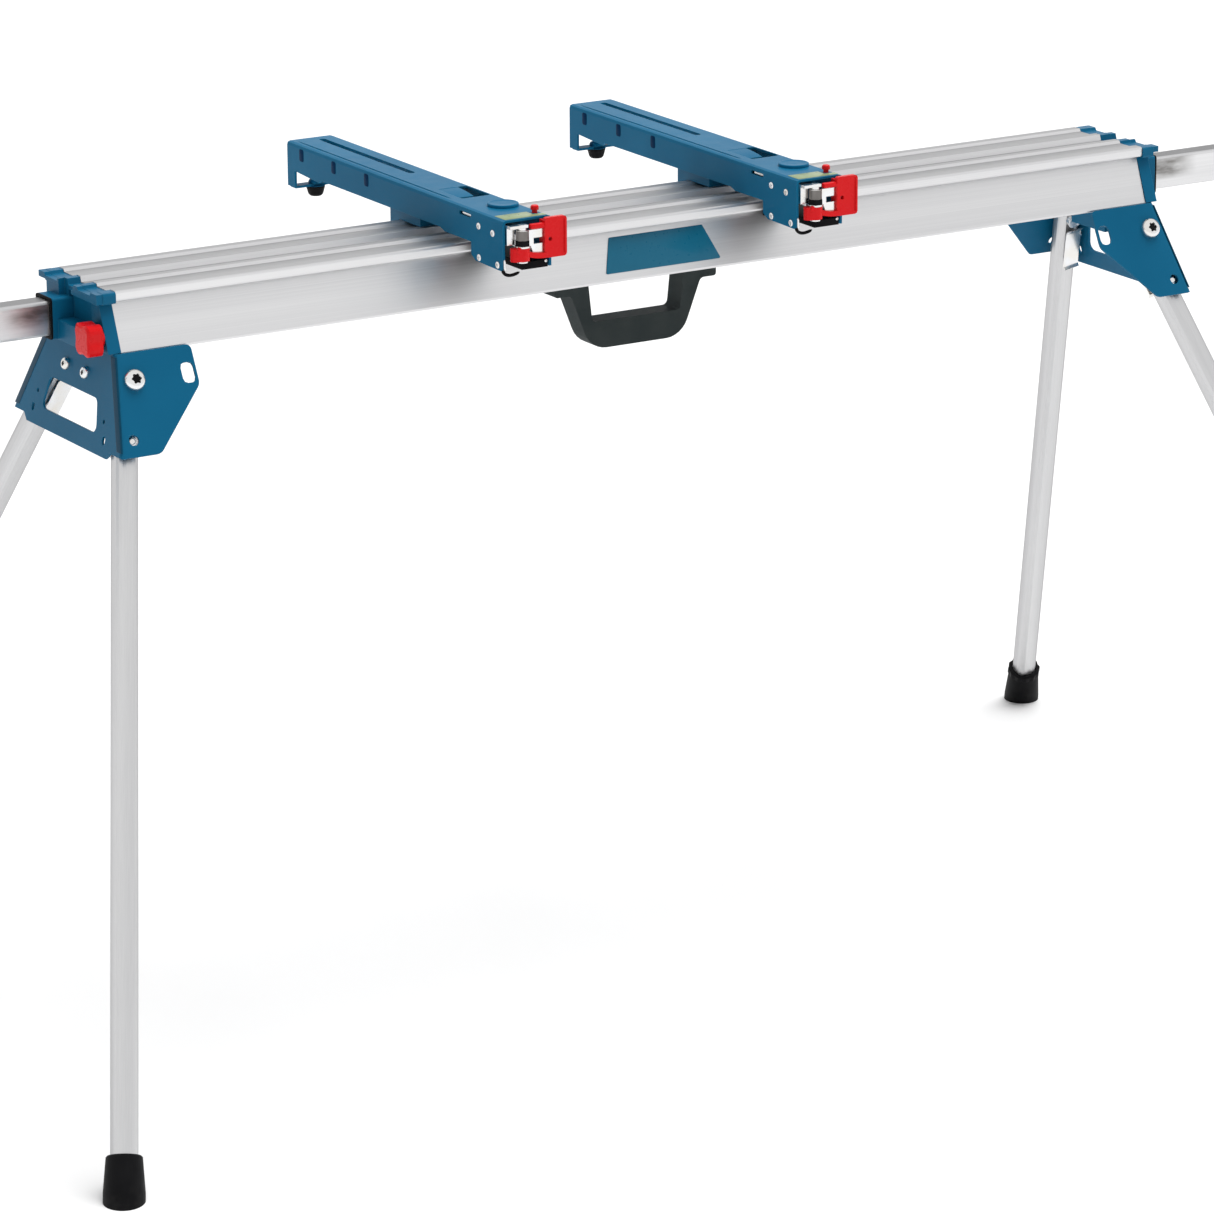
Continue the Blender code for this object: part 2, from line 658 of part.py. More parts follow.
def make_end_cap(blue):
    """A plate over the beam's end, a housing for the bar with a step beside it, and two roofs over them."""
    knob_bore = circle(KNOB_SHAFT_RADIUS + GAP, (-KNOB_FROM_CENTRE, KNOB_HEIGHT))
    base = beam_outline(CAP_PROUD, CAP_SUNK)
    cap = part("end_cap_left", prism(ACROSS, base, *outward(BEAM_END + GAP, CAP_FACE), [knob_bore]), blue)
    overlap = CAP_THICKNESS / 2
    roof_top = DECK_HEIGHT - CAP_SUNK
    recess = rectangle(-CAP_RECESS_FRONT, CAVITY_FOOT, BAR_PLACE, roof_top - CAP_FRONT_ROOF_DEPTH)
    combine(cap, prism(ACROSS, recess, *outward(CAP_FACE - CAP_RECESS, CAP_FACE + OVERRUN)))
    combine(cap, prism(ACROSS, housing_outline(), *outward(CAP_FACE - overlap, HOUSING_FACE)), "UNION")
    step = rectangle(-CAP_STEP_FRONT, BEAM_FOOT + GAP, BAR_PLACE, BEAM_FOOT + CAP_STEP_HEIGHT)
    combine(cap, prism(ACROSS, step, *outward(CAP_FACE - overlap, CAP_FACE + CAP_STEP_REACH)), "UNION")
    edge = DECK_HALF + CAP_PROUD / 2
    for low, high, depth in (
        (-edge, -CAP_NOTCH_FROM, CAP_FRONT_ROOF_DEPTH),
        (CAP_REAR_ROOF_FROM, edge, CAP_REAR_ROOF_DEPTH),
    ):
        line = deck_points(low, high, CAP_PROUD / 2, CAP_SUNK + GAP)
        roof = [(low, roof_top - depth)] + line + [(high, roof_top - depth)]
        roof_sweep = outward(CAP_FACE - overlap, CAP_FACE + CAP_ROOF_REACH)
        combine(cap, prism(ACROSS, roof, *roof_sweep), "UNION")
    neck = rectangle(CAP_REAR_ROOF_FROM, BAR_TOP, CAP_NECK_REAR, roof_top - CAP_REAR_ROOF_DEPTH / 2)
    combine(cap, prism(ACROSS, neck, *outward(CAP_FACE - overlap, CAP_FACE + CAP_ROOF_REACH - GAP)), "UNION")
    spigot_half = BAR_RIB_PLACE - RUNNING_GAP
    spigot = rectangle(-spigot_half, CAVITY_FOOT + RUNNING_GAP, spigot_half, CAVITY_TOP - RUNNING_GAP)
    spigot_sweep = outward(BEAM_END - CAP_SPIGOT_LENGTH, BEAM_END + overlap)
    combine(cap, prism(ACROSS, spigot, *spigot_sweep), "UNION")
    bore = prism(ACROSS, bar_outline(RUNNING_GAP), *outward(BEAM_END - OVERRUN, HOUSING_FACE + OVERRUN))
    combine(cap, bore)
    return apply_modifiers(cap)


def make_collar(black):
    sweep = outward(HOUSING_FACE + GAP, COLLAR_FACE)
    ring = prism(ACROSS, housing_outline(), *sweep, [bar_outline(RUNNING_GAP)])
    return part("bar_collar_left", ring, black)


def make_clamp_knob(red):
    """A four-lobed knob on a shaft that passes through the end cap. Its origin is on its axis."""
    place = axes((-CAP_FACE - GAP, -KNOB_FROM_CENTRE, KNOB_HEIGHT), (0, -1, 0), (0, 0, 1))
    lobes = []
    for i in range(KNOB_STEPS):
        angle = math.tau * i / KNOB_STEPS
        radius = KNOB_RADIUS - KNOB_LOBE_DEPTH * (1 + math.cos(4 * angle)) / 2
        lobes.append((radius * math.cos(angle), radius * math.sin(angle)))
    inset = (KNOB_RADIUS - KNOB_EDGE) / KNOB_RADIUS
    small = [(x * inset, y * inset) for x, y in lobes]
    hub = circle(KNOB_HUB_RADIUS, steps=KNOB_STEPS)
    edge = KNOB_EDGE / 2
    sections = [
        (circle(KNOB_SHAFT_RADIUS, steps=KNOB_STEPS), -CAP_THICKNESS - GAP),
        (circle(KNOB_SHAFT_RADIUS, steps=KNOB_STEPS), 0),
        (hub, 0),
        (hub, KNOB_EDGE),
        (small, KNOB_EDGE),
        (lobes, KNOB_EDGE + edge),
        (lobes, KNOB_THICKNESS - edge),
        (small, KNOB_THICKNESS),
    ]
    shape = loft(Matrix.Identity(4), sections)
    return part("clamp_knob_left", shape, red, place)


# Leg brackets

def end_plate_x(drop):
    """How far the outer face of an end plate stands from the middle, at a drop below the beam."""
    return BEAM_END + END_PLATE_PLACE + drop * END_PLATE_SLOPE


def flange_y(drop):
    """How far the outer face of a flange stands from the middle, at a drop below the beam."""
    return FLANGE_HALF + drop * math.tan(FLANGE_SLOPE)


def flange_plane(side):
    """Lays outlines of (x, drop) on the outer face of a left flange. side is -1 at the front."""

    def on_flange(x, drop):
        return Vector((-x, side * flange_y(drop), BEAM_FOOT - drop))

    return on_flange


def on_end_plate(y, drop):
    return Vector((-end_plate_x(drop), y, BEAM_FOOT - drop))


def flat(shape, place, outline, holes=()):
    """One flat region of a bent sheet, from an outline and holes given in that region's own coordinates."""
    edges = []
    for loop in (outline, *holes):
        corners = [shape.verts.new(place(u, v)) for u, v in loop]
        edges += [shape.edges.new(pair) for pair in zip(corners, corners[1:] + corners[:1])]
    a, b, c = place(0, 0), place(1, 0), place(0, 1)
    bmesh.ops.triangle_fill(shape, use_beauty=True, edges=edges, normal=(b - a).cross(c - a))


def sloped_circle(radius, x, drop, slope_cos):
    """A true circle on a sloped plane, in that plane's (across, drop) coordinates."""
    return [(x + u, drop + v * slope_cos) for u, v in circle(radius, steps=12)]


def make_bracket(blue):
    """One U-shaped sheet: a sloped end plate with a window, and a sloped flange at the front and the rear."""
    shape = bmesh.new()
    top = GAP
    foot = BRACKET_DROP
    slope_cos = math.cos(FLANGE_SLOPE)
    end_cos = 1 / math.hypot(1, END_PLATE_SLOPE)
    lock_x = PIVOT_X + LOCK_FROM_PIVOT * math.sin(LEG_SPLAY)
    lock_drop = PIVOT_DROP + LOCK_FROM_PIVOT * math.cos(LEG_SPLAY) * slope_cos
    fold_x = PIVOT_X - FOLD_HOLE_INBOARD
    inboard = BEAM_END + END_PLATE_PLACE - FLANGE_REACH
    for side in (-1, 1):
        on_flange = flange_plane(side)
        bend_top = end_plate_x(top) - BRACKET_BEND
        bend_foot = end_plate_x(foot) - BRACKET_BEND
        corners = [
            (bend_top, top),
            (inboard, top),
            (inboard, FLANGE_SHORT_DROP),
            (bend_foot - FLANGE_FOOT_REACH - BRACKET_BEND, foot),
            (bend_foot, foot),
        ]
        radii = [0, FLANGE_CORNER_ROUND / 2, FLANGE_CORNER_ROUND, FLANGE_CORNER_ROUND, 0]
        half_wide = FOLD_HOLE_WIDTH / 2
        half_high = FOLD_HOLE_HEIGHT / 2 * slope_cos
        fold_hole = rounded(
            rectangle(fold_x - half_wide, PIVOT_DROP - half_high, fold_x + half_wide, PIVOT_DROP + half_high),
            half_wide * 2 / 3,
            steps=2,
        )
        holes = (
            sloped_circle(PIVOT_RADIUS + GAP, PIVOT_X, PIVOT_DROP, slope_cos),
            sloped_circle(LOCK_HOLE_RADIUS, lock_x, lock_drop, slope_cos),
            fold_hole,
        )
        flat(shape, on_flange, rounded(corners, radii), holes)
        plate_ends = [on_end_plate(side * (flange_y(d) - BRACKET_BEND), d) for d in (top, foot)]
        sharp = [on_end_plate(side * flange_y(d), d) for d in (top, foot)]
        flange_ends = [on_flange(bend_top, top), on_flange(bend_foot, foot)]
        bend(shape, flange_ends, sharp, plate_ends)
    half_top = flange_y(top) - BRACKET_BEND
    half_foot = flange_y(foot) - BRACKET_BEND
    notch = PLATE_NOTCH_PLACE + PLATE_NOTCH_WIDTH
    right = [(half_top, top), (half_foot, foot), (notch, foot), (PLATE_NOTCH_PLACE, END_PLATE_DROP)]
    outline = right + [(-y, drop) for y, drop in reversed(right)]
    window = rounded(
        [
            (-WINDOW_TOP_WIDTH / 2, WINDOW_TOP_DROP),
            (WINDOW_TOP_WIDTH / 2, WINDOW_TOP_DROP),
            (WINDOW_FOOT_WIDTH / 2, WINDOW_FOOT_DROP),
            (-WINDOW_FOOT_WIDTH / 2, WINDOW_FOOT_DROP),
        ],
        WINDOW_ROUND,
    )
    holes = [window]
    for side in (-1, 1):
        holes.append(
            sloped_circle(BLOCK_BOLT_RADIUS + GAP, side * BLOCK_BOLT_PLACE, BLOCK_BOLT_DROP, end_cos)
        )
        holes.append(sloped_circle(PLATE_EYE_RADIUS, side * PLATE_EYE_PLACE, PLATE_EYE_DROP, end_cos))
        half = PLATE_SLOT_WIDTH / 2
        reach = PLATE_SLOT_LENGTH / 2 * end_cos
        middle = side * PLATE_SLOT_PLACE
        slot = rectangle(middle - half, PLATE_SLOT_DROP - reach, middle + half, PLATE_SLOT_DROP + reach)
        holes.append(rounded(slot, half, steps=2))
    flat(shape, on_end_plate, outline, holes)
    close_sheet(shape, lambda point: Vector((point.x + BEAM_END, point.y, 0)))
    return sheet_part("leg_bracket_left", shape, blue, BRACKET_SHEET)


def make_mount_block(blue):
    """The block behind the end plate, with the two bolts that hold the plate to it."""
    inner_face = BEAM_END + END_PLATE_PLACE - BLOCK_LENGTH
    sheet = BRACKET_SHEET * math.hypot(1, END_PLATE_SLOPE) + GAP
    outline = [
        (-inner_face, BEAM_FOOT - GAP),
        (-inner_face, BEAM_FOOT - BLOCK_DROP),
        (-end_plate_x(BLOCK_DROP) + sheet, BEAM_FOOT - BLOCK_DROP),
        (-end_plate_x(GAP) + sheet, BEAM_FOOT - GAP),
    ]
    block = part("mount_block_left", prism(FROM_FRONT, outline, -BLOCK_WIDTH / 2, BLOCK_WIDTH / 2), blue)
    outside = Vector((-1, 0, END_PLATE_SLOPE))
    for side in (-1, 1):
        foot = on_end_plate(side * BLOCK_BOLT_PLACE, BLOCK_BOLT_DROP)
        place = axes(foot, (0, 1, 0), outside.cross((0, 1, 0)))
        inside = -BRACKET_SHEET - BLOCK_BOLT_HEAD
        profile = [
            (0, inside),
            (BLOCK_BOLT_RADIUS, inside),
            (BLOCK_BOLT_RADIUS, GAP),
            (BLOCK_BOLT_HEAD, GAP),
            (BLOCK_BOLT_HEAD, GAP + BLOCK_BOLT_DOME / 3),
            (BLOCK_BOLT_HEAD * 2 / 3, GAP + BLOCK_BOLT_DOME * 5 / 6),
            (0, GAP + BLOCK_BOLT_DOME),
        ]
        combine(block, turned(place, profile, steps=12), "UNION")
    return apply_modifiers(block)


# Legs. Each leg's own frame has its origin on the pivot axis, +Y out through the flange and -Z down the leg.

def leg_frame(end, side):
    """Where a leg's frame lies. end is -1 at the left, and side is -1 at the front."""
    down = Vector((0, side * math.sin(FLANGE_SLOPE), -math.cos(FLANGE_SLOPE)))
    outside = Vector((0, side * math.cos(FLANGE_SLOPE), math.sin(FLANGE_SLOPE)))
    along = down * math.cos(LEG_SPLAY) + Vector((end, 0, 0)) * math.sin(LEG_SPLAY)
    pivot = Vector((end * PIVOT_X, side * flange_y(PIVOT_DROP), PIVOT_Z)) - outside * LEG_DEPTH
    return axes(pivot, outside.cross(-along), outside)


def leg_length():
    """From the pivot down the leg's centre line to the floor."""
    height = PIVOT_Z - LEG_DEPTH * math.sin(FLANGE_SLOPE)
    return height / (math.cos(FLANGE_SLOPE) * math.cos(LEG_SPLAY))


# Round things that cross a leg, such as its bolt, are drawn with their own Z along the leg frame's Y
ACROSS_LEG = axes((0, 0, 0), (0, 0, 1), (1, 0, 0))
LOCK_ACROSS_LEG = axes((0, 0, -LOCK_FROM_PIVOT), (0, 0, 1), (1, 0, 0))


def square_tube(half, corner, steps=ROUND_STEPS):
    return rounded(rectangle(-half, -half, half, half), corner, steps)


def make_leg_tube(name, aluminium, place):
    """A square tube with round corners and a round end, bored for its pivot bolt and its lock pin."""
    half = LEG_WIDTH / 2
    foot = -leg_length() + LEG_END_LIFT
    inside = square_tube(half - LEG_WALL, LEG_CORNER - LEG_WALL)
    shape = prism(Matrix.Identity(4), square_tube(half, LEG_CORNER), foot, LEG_WIDTH, [inside])
    tube = part(name, shape, aluminium, place)
    bores = prism(ACROSS_LEG, circle(PIVOT_RADIUS + GAP), -LEG_WIDTH, LEG_WIDTH)
    spread = [math.pi * i / CIRCLE_STEPS for i in range(CIRCLE_STEPS + 1)]
    arch = [((half + GAP / 3) * math.sin(angle), (half + GAP / 3) * math.cos(angle)) for angle in spread]
    around = [(0, -LEG_WIDTH), (2 * LEG_WIDTH, -LEG_WIDTH), (2 * LEG_WIDTH, LEG_WIDTH), (0, LEG_WIDTH)]
    combine(tube, prism(ACROSS_LEG, arch + around, -LEG_WIDTH, LEG_WIDTH))
    prism(LOCK_ACROSS_LEG, circle(LOCK_PIN_RADIUS + GAP), -LEG_WIDTH, LEG_WIDTH, shape=bores)
    combine(tube, bores)
    return apply_modifiers(tube)


def make_pivot_bolt(name, steel, place):
    """The bolt through a flange and a leg, with its nut and the spacer between flange and leg."""
    head = LEG_DEPTH + GAP
    leg_face = LEG_WIDTH / 2 + GAP
    flange_face = LEG_DEPTH - BRACKET_SHEET - GAP
    profile = [
        (0, -leg_face - PIVOT_NUT_HEIGHT),
        (PIVOT_NUT_RADIUS, -leg_face - PIVOT_NUT_HEIGHT),
        (PIVOT_NUT_RADIUS, -leg_face),
        (PIVOT_RADIUS, -leg_face),
        (PIVOT_RADIUS, leg_face),
        (PIVOT_SPACER_RADIUS, leg_face),
        (PIVOT_SPACER_RADIUS, flange_face),
        (PIVOT_RADIUS, flange_face),
        (PIVOT_RADIUS, head),
        (PIVOT_HEAD_RADIUS, head),
        (PIVOT_HEAD_RADIUS, head + PIVOT_DOME / 3),
        (PIVOT_HEAD_RADIUS * 3 / 4, head + PIVOT_DOME * 4 / 5),
        (0, head + PIVOT_DOME),
    ]
    return part(name, turned(ACROSS_LEG, profile), steel, place)


def make_lock_pin(name, steel, place):
    """A pin through the leg, drawn back until its tip is just inside the flange."""
    tip = LEG_DEPTH - BRACKET_SHEET - GAP
    tail = -LEG_WIDTH / 2 - PULL_PLATE_STAND_OFF + GAP
    profile = [
        (0, tail),
        (LOCK_PIN_RADIUS, tail),
        (LOCK_PIN_RADIUS, tip - LOCK_TIP_ROUND),
        (LOCK_PIN_RADIUS - LOCK_TIP_ROUND / 2, tip - LOCK_TIP_ROUND / 4),
        (LOCK_PIN_RADIUS - LOCK_TIP_ROUND, tip),
        (0, tip),
    ]
    return part(name, turned(LOCK_ACROSS_LEG, profile), steel, place)


def make_pull_plate(name, steel, place):
    """The bent strip on the pin's inner end, which kicks away from the leg at both ends."""
    near = -LEG_WIDTH / 2 - PULL_PLATE_STAND_OFF
    far = near - PULL_PLATE_SHEET
    kick = PULL_PLATE_KICK
    top = -LOCK_FROM_PIVOT + PULL_PLATE_RISE - 2 * kick
    foot = -LOCK_FROM_PIVOT - PULL_PLATE_TAIL
    outline = [
        (near, top),
        (near - kick, top + 2 * kick),
        (far - kick, top + 2 * kick),
        (far, top),
        (far, foot),
        (far - kick, foot - kick),
        (near - kick, foot - kick),
        (near, foot),
    ]
    half = PULL_PLATE_WIDTH / 2
    return part(name, prism(ACROSS, outline, -half, half), steel, place)


def make_foot(name, rubber, place, cup=FOOT_LENGTH, wavy=False):
    """A cup that flares from the leg to its sole, cut level where it stands on the floor."""
    length = leg_length()
    top = -length + cup
    body = circle(FOOT_TOP_RADIUS, steps=FOOT_STEPS)
    sole = circle(FOOT_SOLE_RADIUS, steps=FOOT_STEPS)
    sections = [
        (sole, -length - FOOT_SOLE_RADIUS),
        (sole, -length + FOOT_SOLE_HEIGHT),
    ]
    if wavy:
        swells = [math.sin(FOOT_COLLAR_WAVES * math.tau * i / FOOT_STEPS) for i in range(FOOT_STEPS)]
        radius = FOOT_TOP_RADIUS + FOOT_COLLAR_PROUD
        stretch = [1 + FOOT_COLLAR_PROUD / radius * (1 + swell) for swell in swells]
        collar = [(x * k, y * k) for (x, y), k in zip(body, stretch)]
        sections += [(body, top - FOOT_COLLAR - FOOT_COLLAR_PROUD), (collar, top - FOOT_COLLAR)]
        sections += [(collar, top - FOOT_COLLAR_PROUD)]
    else:
        sections += [(body, top - FOOT_RIM)]
    sections += [(circle(FOOT_TOP_RADIUS - FOOT_RIM, steps=FOOT_STEPS), top)]
    shape = loft(Matrix.Identity(4), sections)
    to_leg = place.inverted()
    everything = list(shape.verts) + list(shape.edges) + list(shape.faces)
    upright = to_leg.to_3x3() @ Vector((0, 0, 1))
    floor = to_leg.translation
    bmesh.ops.bisect_plane(shape, geom=everything, plane_co=floor, plane_no=upright, clear_inner=True)
    rim = [edge for edge in shape.edges if edge.is_boundary]
    bmesh.ops.contextual_create(shape, geom=rim)
    foot = part(name, shape, rubber, place)
    socket = square_tube(LEG_WIDTH / 2 + GAP, LEG_CORNER)
    combine(foot, prism(Matrix.Identity(4), socket, -length + LEG_END_LIFT - GAP, top + OVERRUN))
    return apply_modifiers(foot)


# Carry handle

def make_handle(plastic):
    """A moulded bail: outline seen from the front, swept along Y, with its edges rounded."""
    top = BEAM_FOOT - GAP
    foot = top - HANDLE_FOOT_DROP
    arm_half = HANDLE_ARM_WIDTH / 2
    grip_half = HANDLE_GRIP_WIDTH / 2
    bottom = top - HANDLE_DROP
    inner_top = HANDLE_OPENING_TOP / 2
    inner_half = HANDLE_OPENING_FOOT / 2
    inner_foot = top - HANDLE_OPENING_DROP
    right = [
        (inner_half, inner_foot),
        (inner_top, top),
        (HANDLE_FOOT_WIDTH / 2, top),
        (HANDLE_FOOT_WIDTH / 2, foot),
        (arm_half, foot),
        (grip_half, bottom),
    ]
    left = [(-x, z) for x, z in reversed(right)]
    radii = [HANDLE_INNER_ROUND, 0, 0, HANDLE_EDGE_ROUND, HANDLE_INNER_ROUND, HANDLE_CORNER]
    outline = rounded(right + left, radii + radii[::-1], steps=6)
    front = HANDLE_PLACE + HANDLE_DEPTH / 2
    shape = prism(FROM_FRONT, outline, front - HANDLE_DEPTH, front)
    handle = part("carry_handle", shape, plastic)
    return round_edges(handle, HANDLE_EDGE_ROUND, segments=2)


# Mounting arms. An arm's left face is at x; the front is at -Y.

def side_outline():
    """The side of an arm as (y, z): shallow along the middle, deep at the nose and at the tail."""
    top = ARM_TOP - ARM_BEND
    nose_back = -ARM_FRONT + ARM_NOSE_LENGTH
    nose_foot = ARM_TOP - ARM_NOSE_SIDE
    tail_front = ARM_BACK - ARM_TAIL_LENGTH
    tail_foot = ARM_TOP - ARM_TAIL_SIDE
    points = [
        (-ARM_FRONT, top),
        (-ARM_FRONT, nose_foot),
        (nose_back - ARM_SHOULDER * 3, nose_foot + ARM_SHOULDER / 3),
        (nose_back, nose_foot + ARM_SHOULDER * 2),
        (nose_back, ARM_UNDERSIDE - ARM_SHOULDER),
        (nose_back + ARM_TAIL_OPENING, ARM_UNDERSIDE - ARM_SHOULDER),
        (nose_back + ARM_TAIL_OPENING + ARM_SHOULDER * 3, ARM_UNDERSIDE),
        (tail_front - ARM_TAIL_OPENING - ARM_SHOULDER, ARM_UNDERSIDE),
        (tail_front - ARM_TAIL_OPENING, ARM_UNDERSIDE - ARM_SHOULDER),
        (tail_front, ARM_UNDERSIDE),
        (tail_front, tail_foot),
        (ARM_BACK, tail_foot),
        (ARM_BACK, top),
    ]
    return points


def make_arm_channel(name, blue, x):
    """A bent channel, open below, with its slots, a wall at the tail and a strap that carries the bumper."""
    shape = bmesh.new()
    right = x + ARM_WIDTH
    ends = (-ARM_FRONT, ARM_BACK)
    top = ARM_TOP

    slot_half = ARM_SLOT_WIDTH / 2
    slot_x = x + ARM_SLOT_PLACE
    slot_back = ARM_BACK - ARM_SLOT_BACK
    slot = rectangle(slot_x - slot_half, slot_back - ARM_SLOT_LENGTH, slot_x + slot_half, slot_back)
    slot = rounded(slot, slot_half, steps=3)
    window_right = right - ARM_BEND - ARM_SHOULDER / 3
    window_left = window_right - ARM_WINDOW_WIDTH
    window_front = -ARM_FRONT + ARM_WINDOW_FRONT
    window = rectangle(window_left, window_front, window_right, window_front + ARM_WINDOW_LENGTH)
    window = rounded(window, ARM_SHOULDER, steps=2)
    stem = circle(BUTTON_STEM_RADIUS + GAP, (x + BUTTON_PLACE, -ARM_FRONT + BUTTON_FROM_FRONT), steps=10)
    flat(
        shape,
        lambda u, v: Vector((u, v, top)),
        rectangle(x + ARM_BEND, ends[0], right - ARM_BEND, ends[1]),
        (slot, window, stem),
    )
    side_holes = []
    half = ARM_SIDE_SLOT_WIDTH / 2
    slot_top = ARM_TOP - ARM_SIDE_SLOT_DROP + ARM_SIDE_SLOT_LENGTH / 2
    for i in range(ARM_SIDE_SLOTS):
        y = ARM_BACK - ARM_SIDE_SLOT_FIRST - i * ARM_SIDE_SLOT_STEP
        hole = rectangle(y - half, slot_top - ARM_SIDE_SLOT_LENGTH, y + half, slot_top)
        side_holes.append(rounded(hole, half / 2, steps=1))
    nose_y = -ARM_FRONT + ARM_NOSE_SLOT_PLACE
    nose_z = ARM_TOP - ARM_NOSE_SLOT_DROP
    nose_slot = rectangle(
        nose_y - ARM_NOSE_SLOT_LENGTH / 2,
        nose_z - ARM_NOSE_SLOT_WIDTH / 2,
        nose_y + ARM_NOSE_SLOT_LENGTH / 2,
        nose_z + ARM_NOSE_SLOT_WIDTH / 2,
    )
    side_holes.append(rounded(nose_slot, half / 2, steps=1))
    for face, inward in ((x, 1), (right, -1)):
        flat(shape, lambda u, v, face=face: Vector((face, u, v)), side_outline(), side_holes)
        bend(
            shape,
            [Vector((face, y, top - ARM_BEND)) for y in ends],
            [Vector((face, y, top)) for y in ends],
            [Vector((face + inward * ARM_BEND, y, top)) for y in ends],
            steps=2,
        )
    middle = Vector((x + ARM_WIDTH / 2, 0, ARM_UNDERSIDE))
    close_sheet(shape, lambda point: Vector((point.x - middle.x, 0, point.z - middle.z)))
    arm = sheet_part(name, shape, blue, ARM_SHEET)

    inset = ARM_SHEET / 2
    wall_back = ARM_BACK - GAP
    wall = rectangle(wall_back - ARM_SHEET, ARM_UNDERSIDE, wall_back, ARM_TOP - inset)
    tail_foot = ARM_TOP - ARM_TAIL_SIDE
    strap_front = ARM_BACK - ARM_TAIL_LENGTH + GAP
    strap_back = strap_front + ARM_STRAP_DEPTH
    strap_half = ARM_STRAP_SHEET / 2
    strap = rectangle(strap_front, tail_foot - strap_half, strap_back, tail_foot + strap_half)
    for outline in (wall, strap):
        combine(arm, prism(ACROSS, outline, x + inset, right - inset), "UNION")
    return apply_modifiers(arm)


def make_rear_jaw(name, blue, x):
    """A fixed jaw: a pad on the deck, a back wall, and a hook under the rear lip."""
    top = ARM_UNDERSIDE - ARM_SHOULDER / 3
    lip = DECK_HALF + RUNNING_GAP
    back = lip + JAW_THICKNESS
    under = LIP_FOOT - RUNNING_GAP
    outline = [
        (lip - JAW_PAD, DECK_HEIGHT + GAP),
        (lip, DECK_HEIGHT + GAP),
        (lip, under),
        (lip - JAW_HOOK, under),
        (lip - JAW_HOOK, under - JAW_HOOK_DROP),
        (back - JAW_HOOK / 2, under - JAW_HOOK_DROP),
        (back, under),
        (back, top),
        (lip - JAW_PAD, top),
    ]
    inset = ARM_SHEET + GAP
    shape = prism(ACROSS, outline, x + inset, x + ARM_WIDTH - inset)
    jaw = part(name, shape, blue)
    key_top = ARM_TOP - ARM_SHEET - GAP
    key = rectangle(lip - JAW_PAD / 2, top - JAW_HOOK_DROP / 2, back - JAW_HOOK, key_top)
    combine(jaw, prism(ACROSS, key, x + ARM_BEND + GAP, x + ARM_WIDTH / 3), "UNION")
    return apply_modifiers(jaw)


def make_front_jaw(name, plastic, x):
    """The moving jaw: a hook under the front lip on a bar that runs forward under the lever."""
    lip = DECK_HALF + RUNNING_GAP
    under = LIP_FOOT - RUNNING_GAP
    nose = ARM_FRONT + LEVER_PIN_REACH / 2
    bar_foot = ARM_TOP - ARM_NOSE_SIDE + GAP
    bar_top = bar_foot + FRONT_JAW_BAR
    outline = [
        (-lip, DECK_HEIGHT - LIP_HEIGHT / 3),
        (-lip, under),
        (-lip + JAW_HOOK, under),
        (-lip + JAW_HOOK, under - JAW_HOOK_DROP),
        (-lip - JAW_THICKNESS, under - JAW_HOOK_DROP),
        (-lip - JAW_THICKNESS - JAW_HOOK, bar_foot),
        (-nose, bar_foot),
        (-nose, bar_top),
        (-lip - JAW_THICKNESS - JAW_HOOK, bar_top),
        (-lip - JAW_THICKNESS, DECK_HEIGHT - LIP_HEIGHT / 3),
    ]
    left = x + FRONT_JAW_PLACE
    return part(name, prism(ACROSS, outline, left, left + FRONT_JAW_WIDTH), plastic)


def make_bumper(name, rubber, x):
    """The rubber buffer bonded under the strap at an arm's tail."""
    top = ARM_TOP - ARM_TAIL_SIDE - ARM_STRAP_SHEET / 2 - GAP
    foot = top - BUMPER_HEIGHT
    profile = [
        (0, foot),
        (BUMPER_RADIUS - BUMPER_TAPER * 2, foot),
        (BUMPER_RADIUS - BUMPER_TAPER, foot + BUMPER_TAPER),
        (BUMPER_RADIUS, top - BUMPER_TAPER),
        (BUMPER_RADIUS, top),
        (0, top),
    ]
    y = ARM_BACK - ARM_TAIL_LENGTH + ARM_STRAP_DEPTH / 2
    place = Matrix.Translation((x + ARM_WIDTH / 2, y, 0))
    return part(name, turned(place, profile), rubber)


def lever_axis(x):
    """The middle of a clamp lever's pin, at the height of an arm's top."""
    return Vector((x + LEVER_PIN_PLACE, -ARM_FRONT - LEVER_PIN_REACH, ARM_TOP))


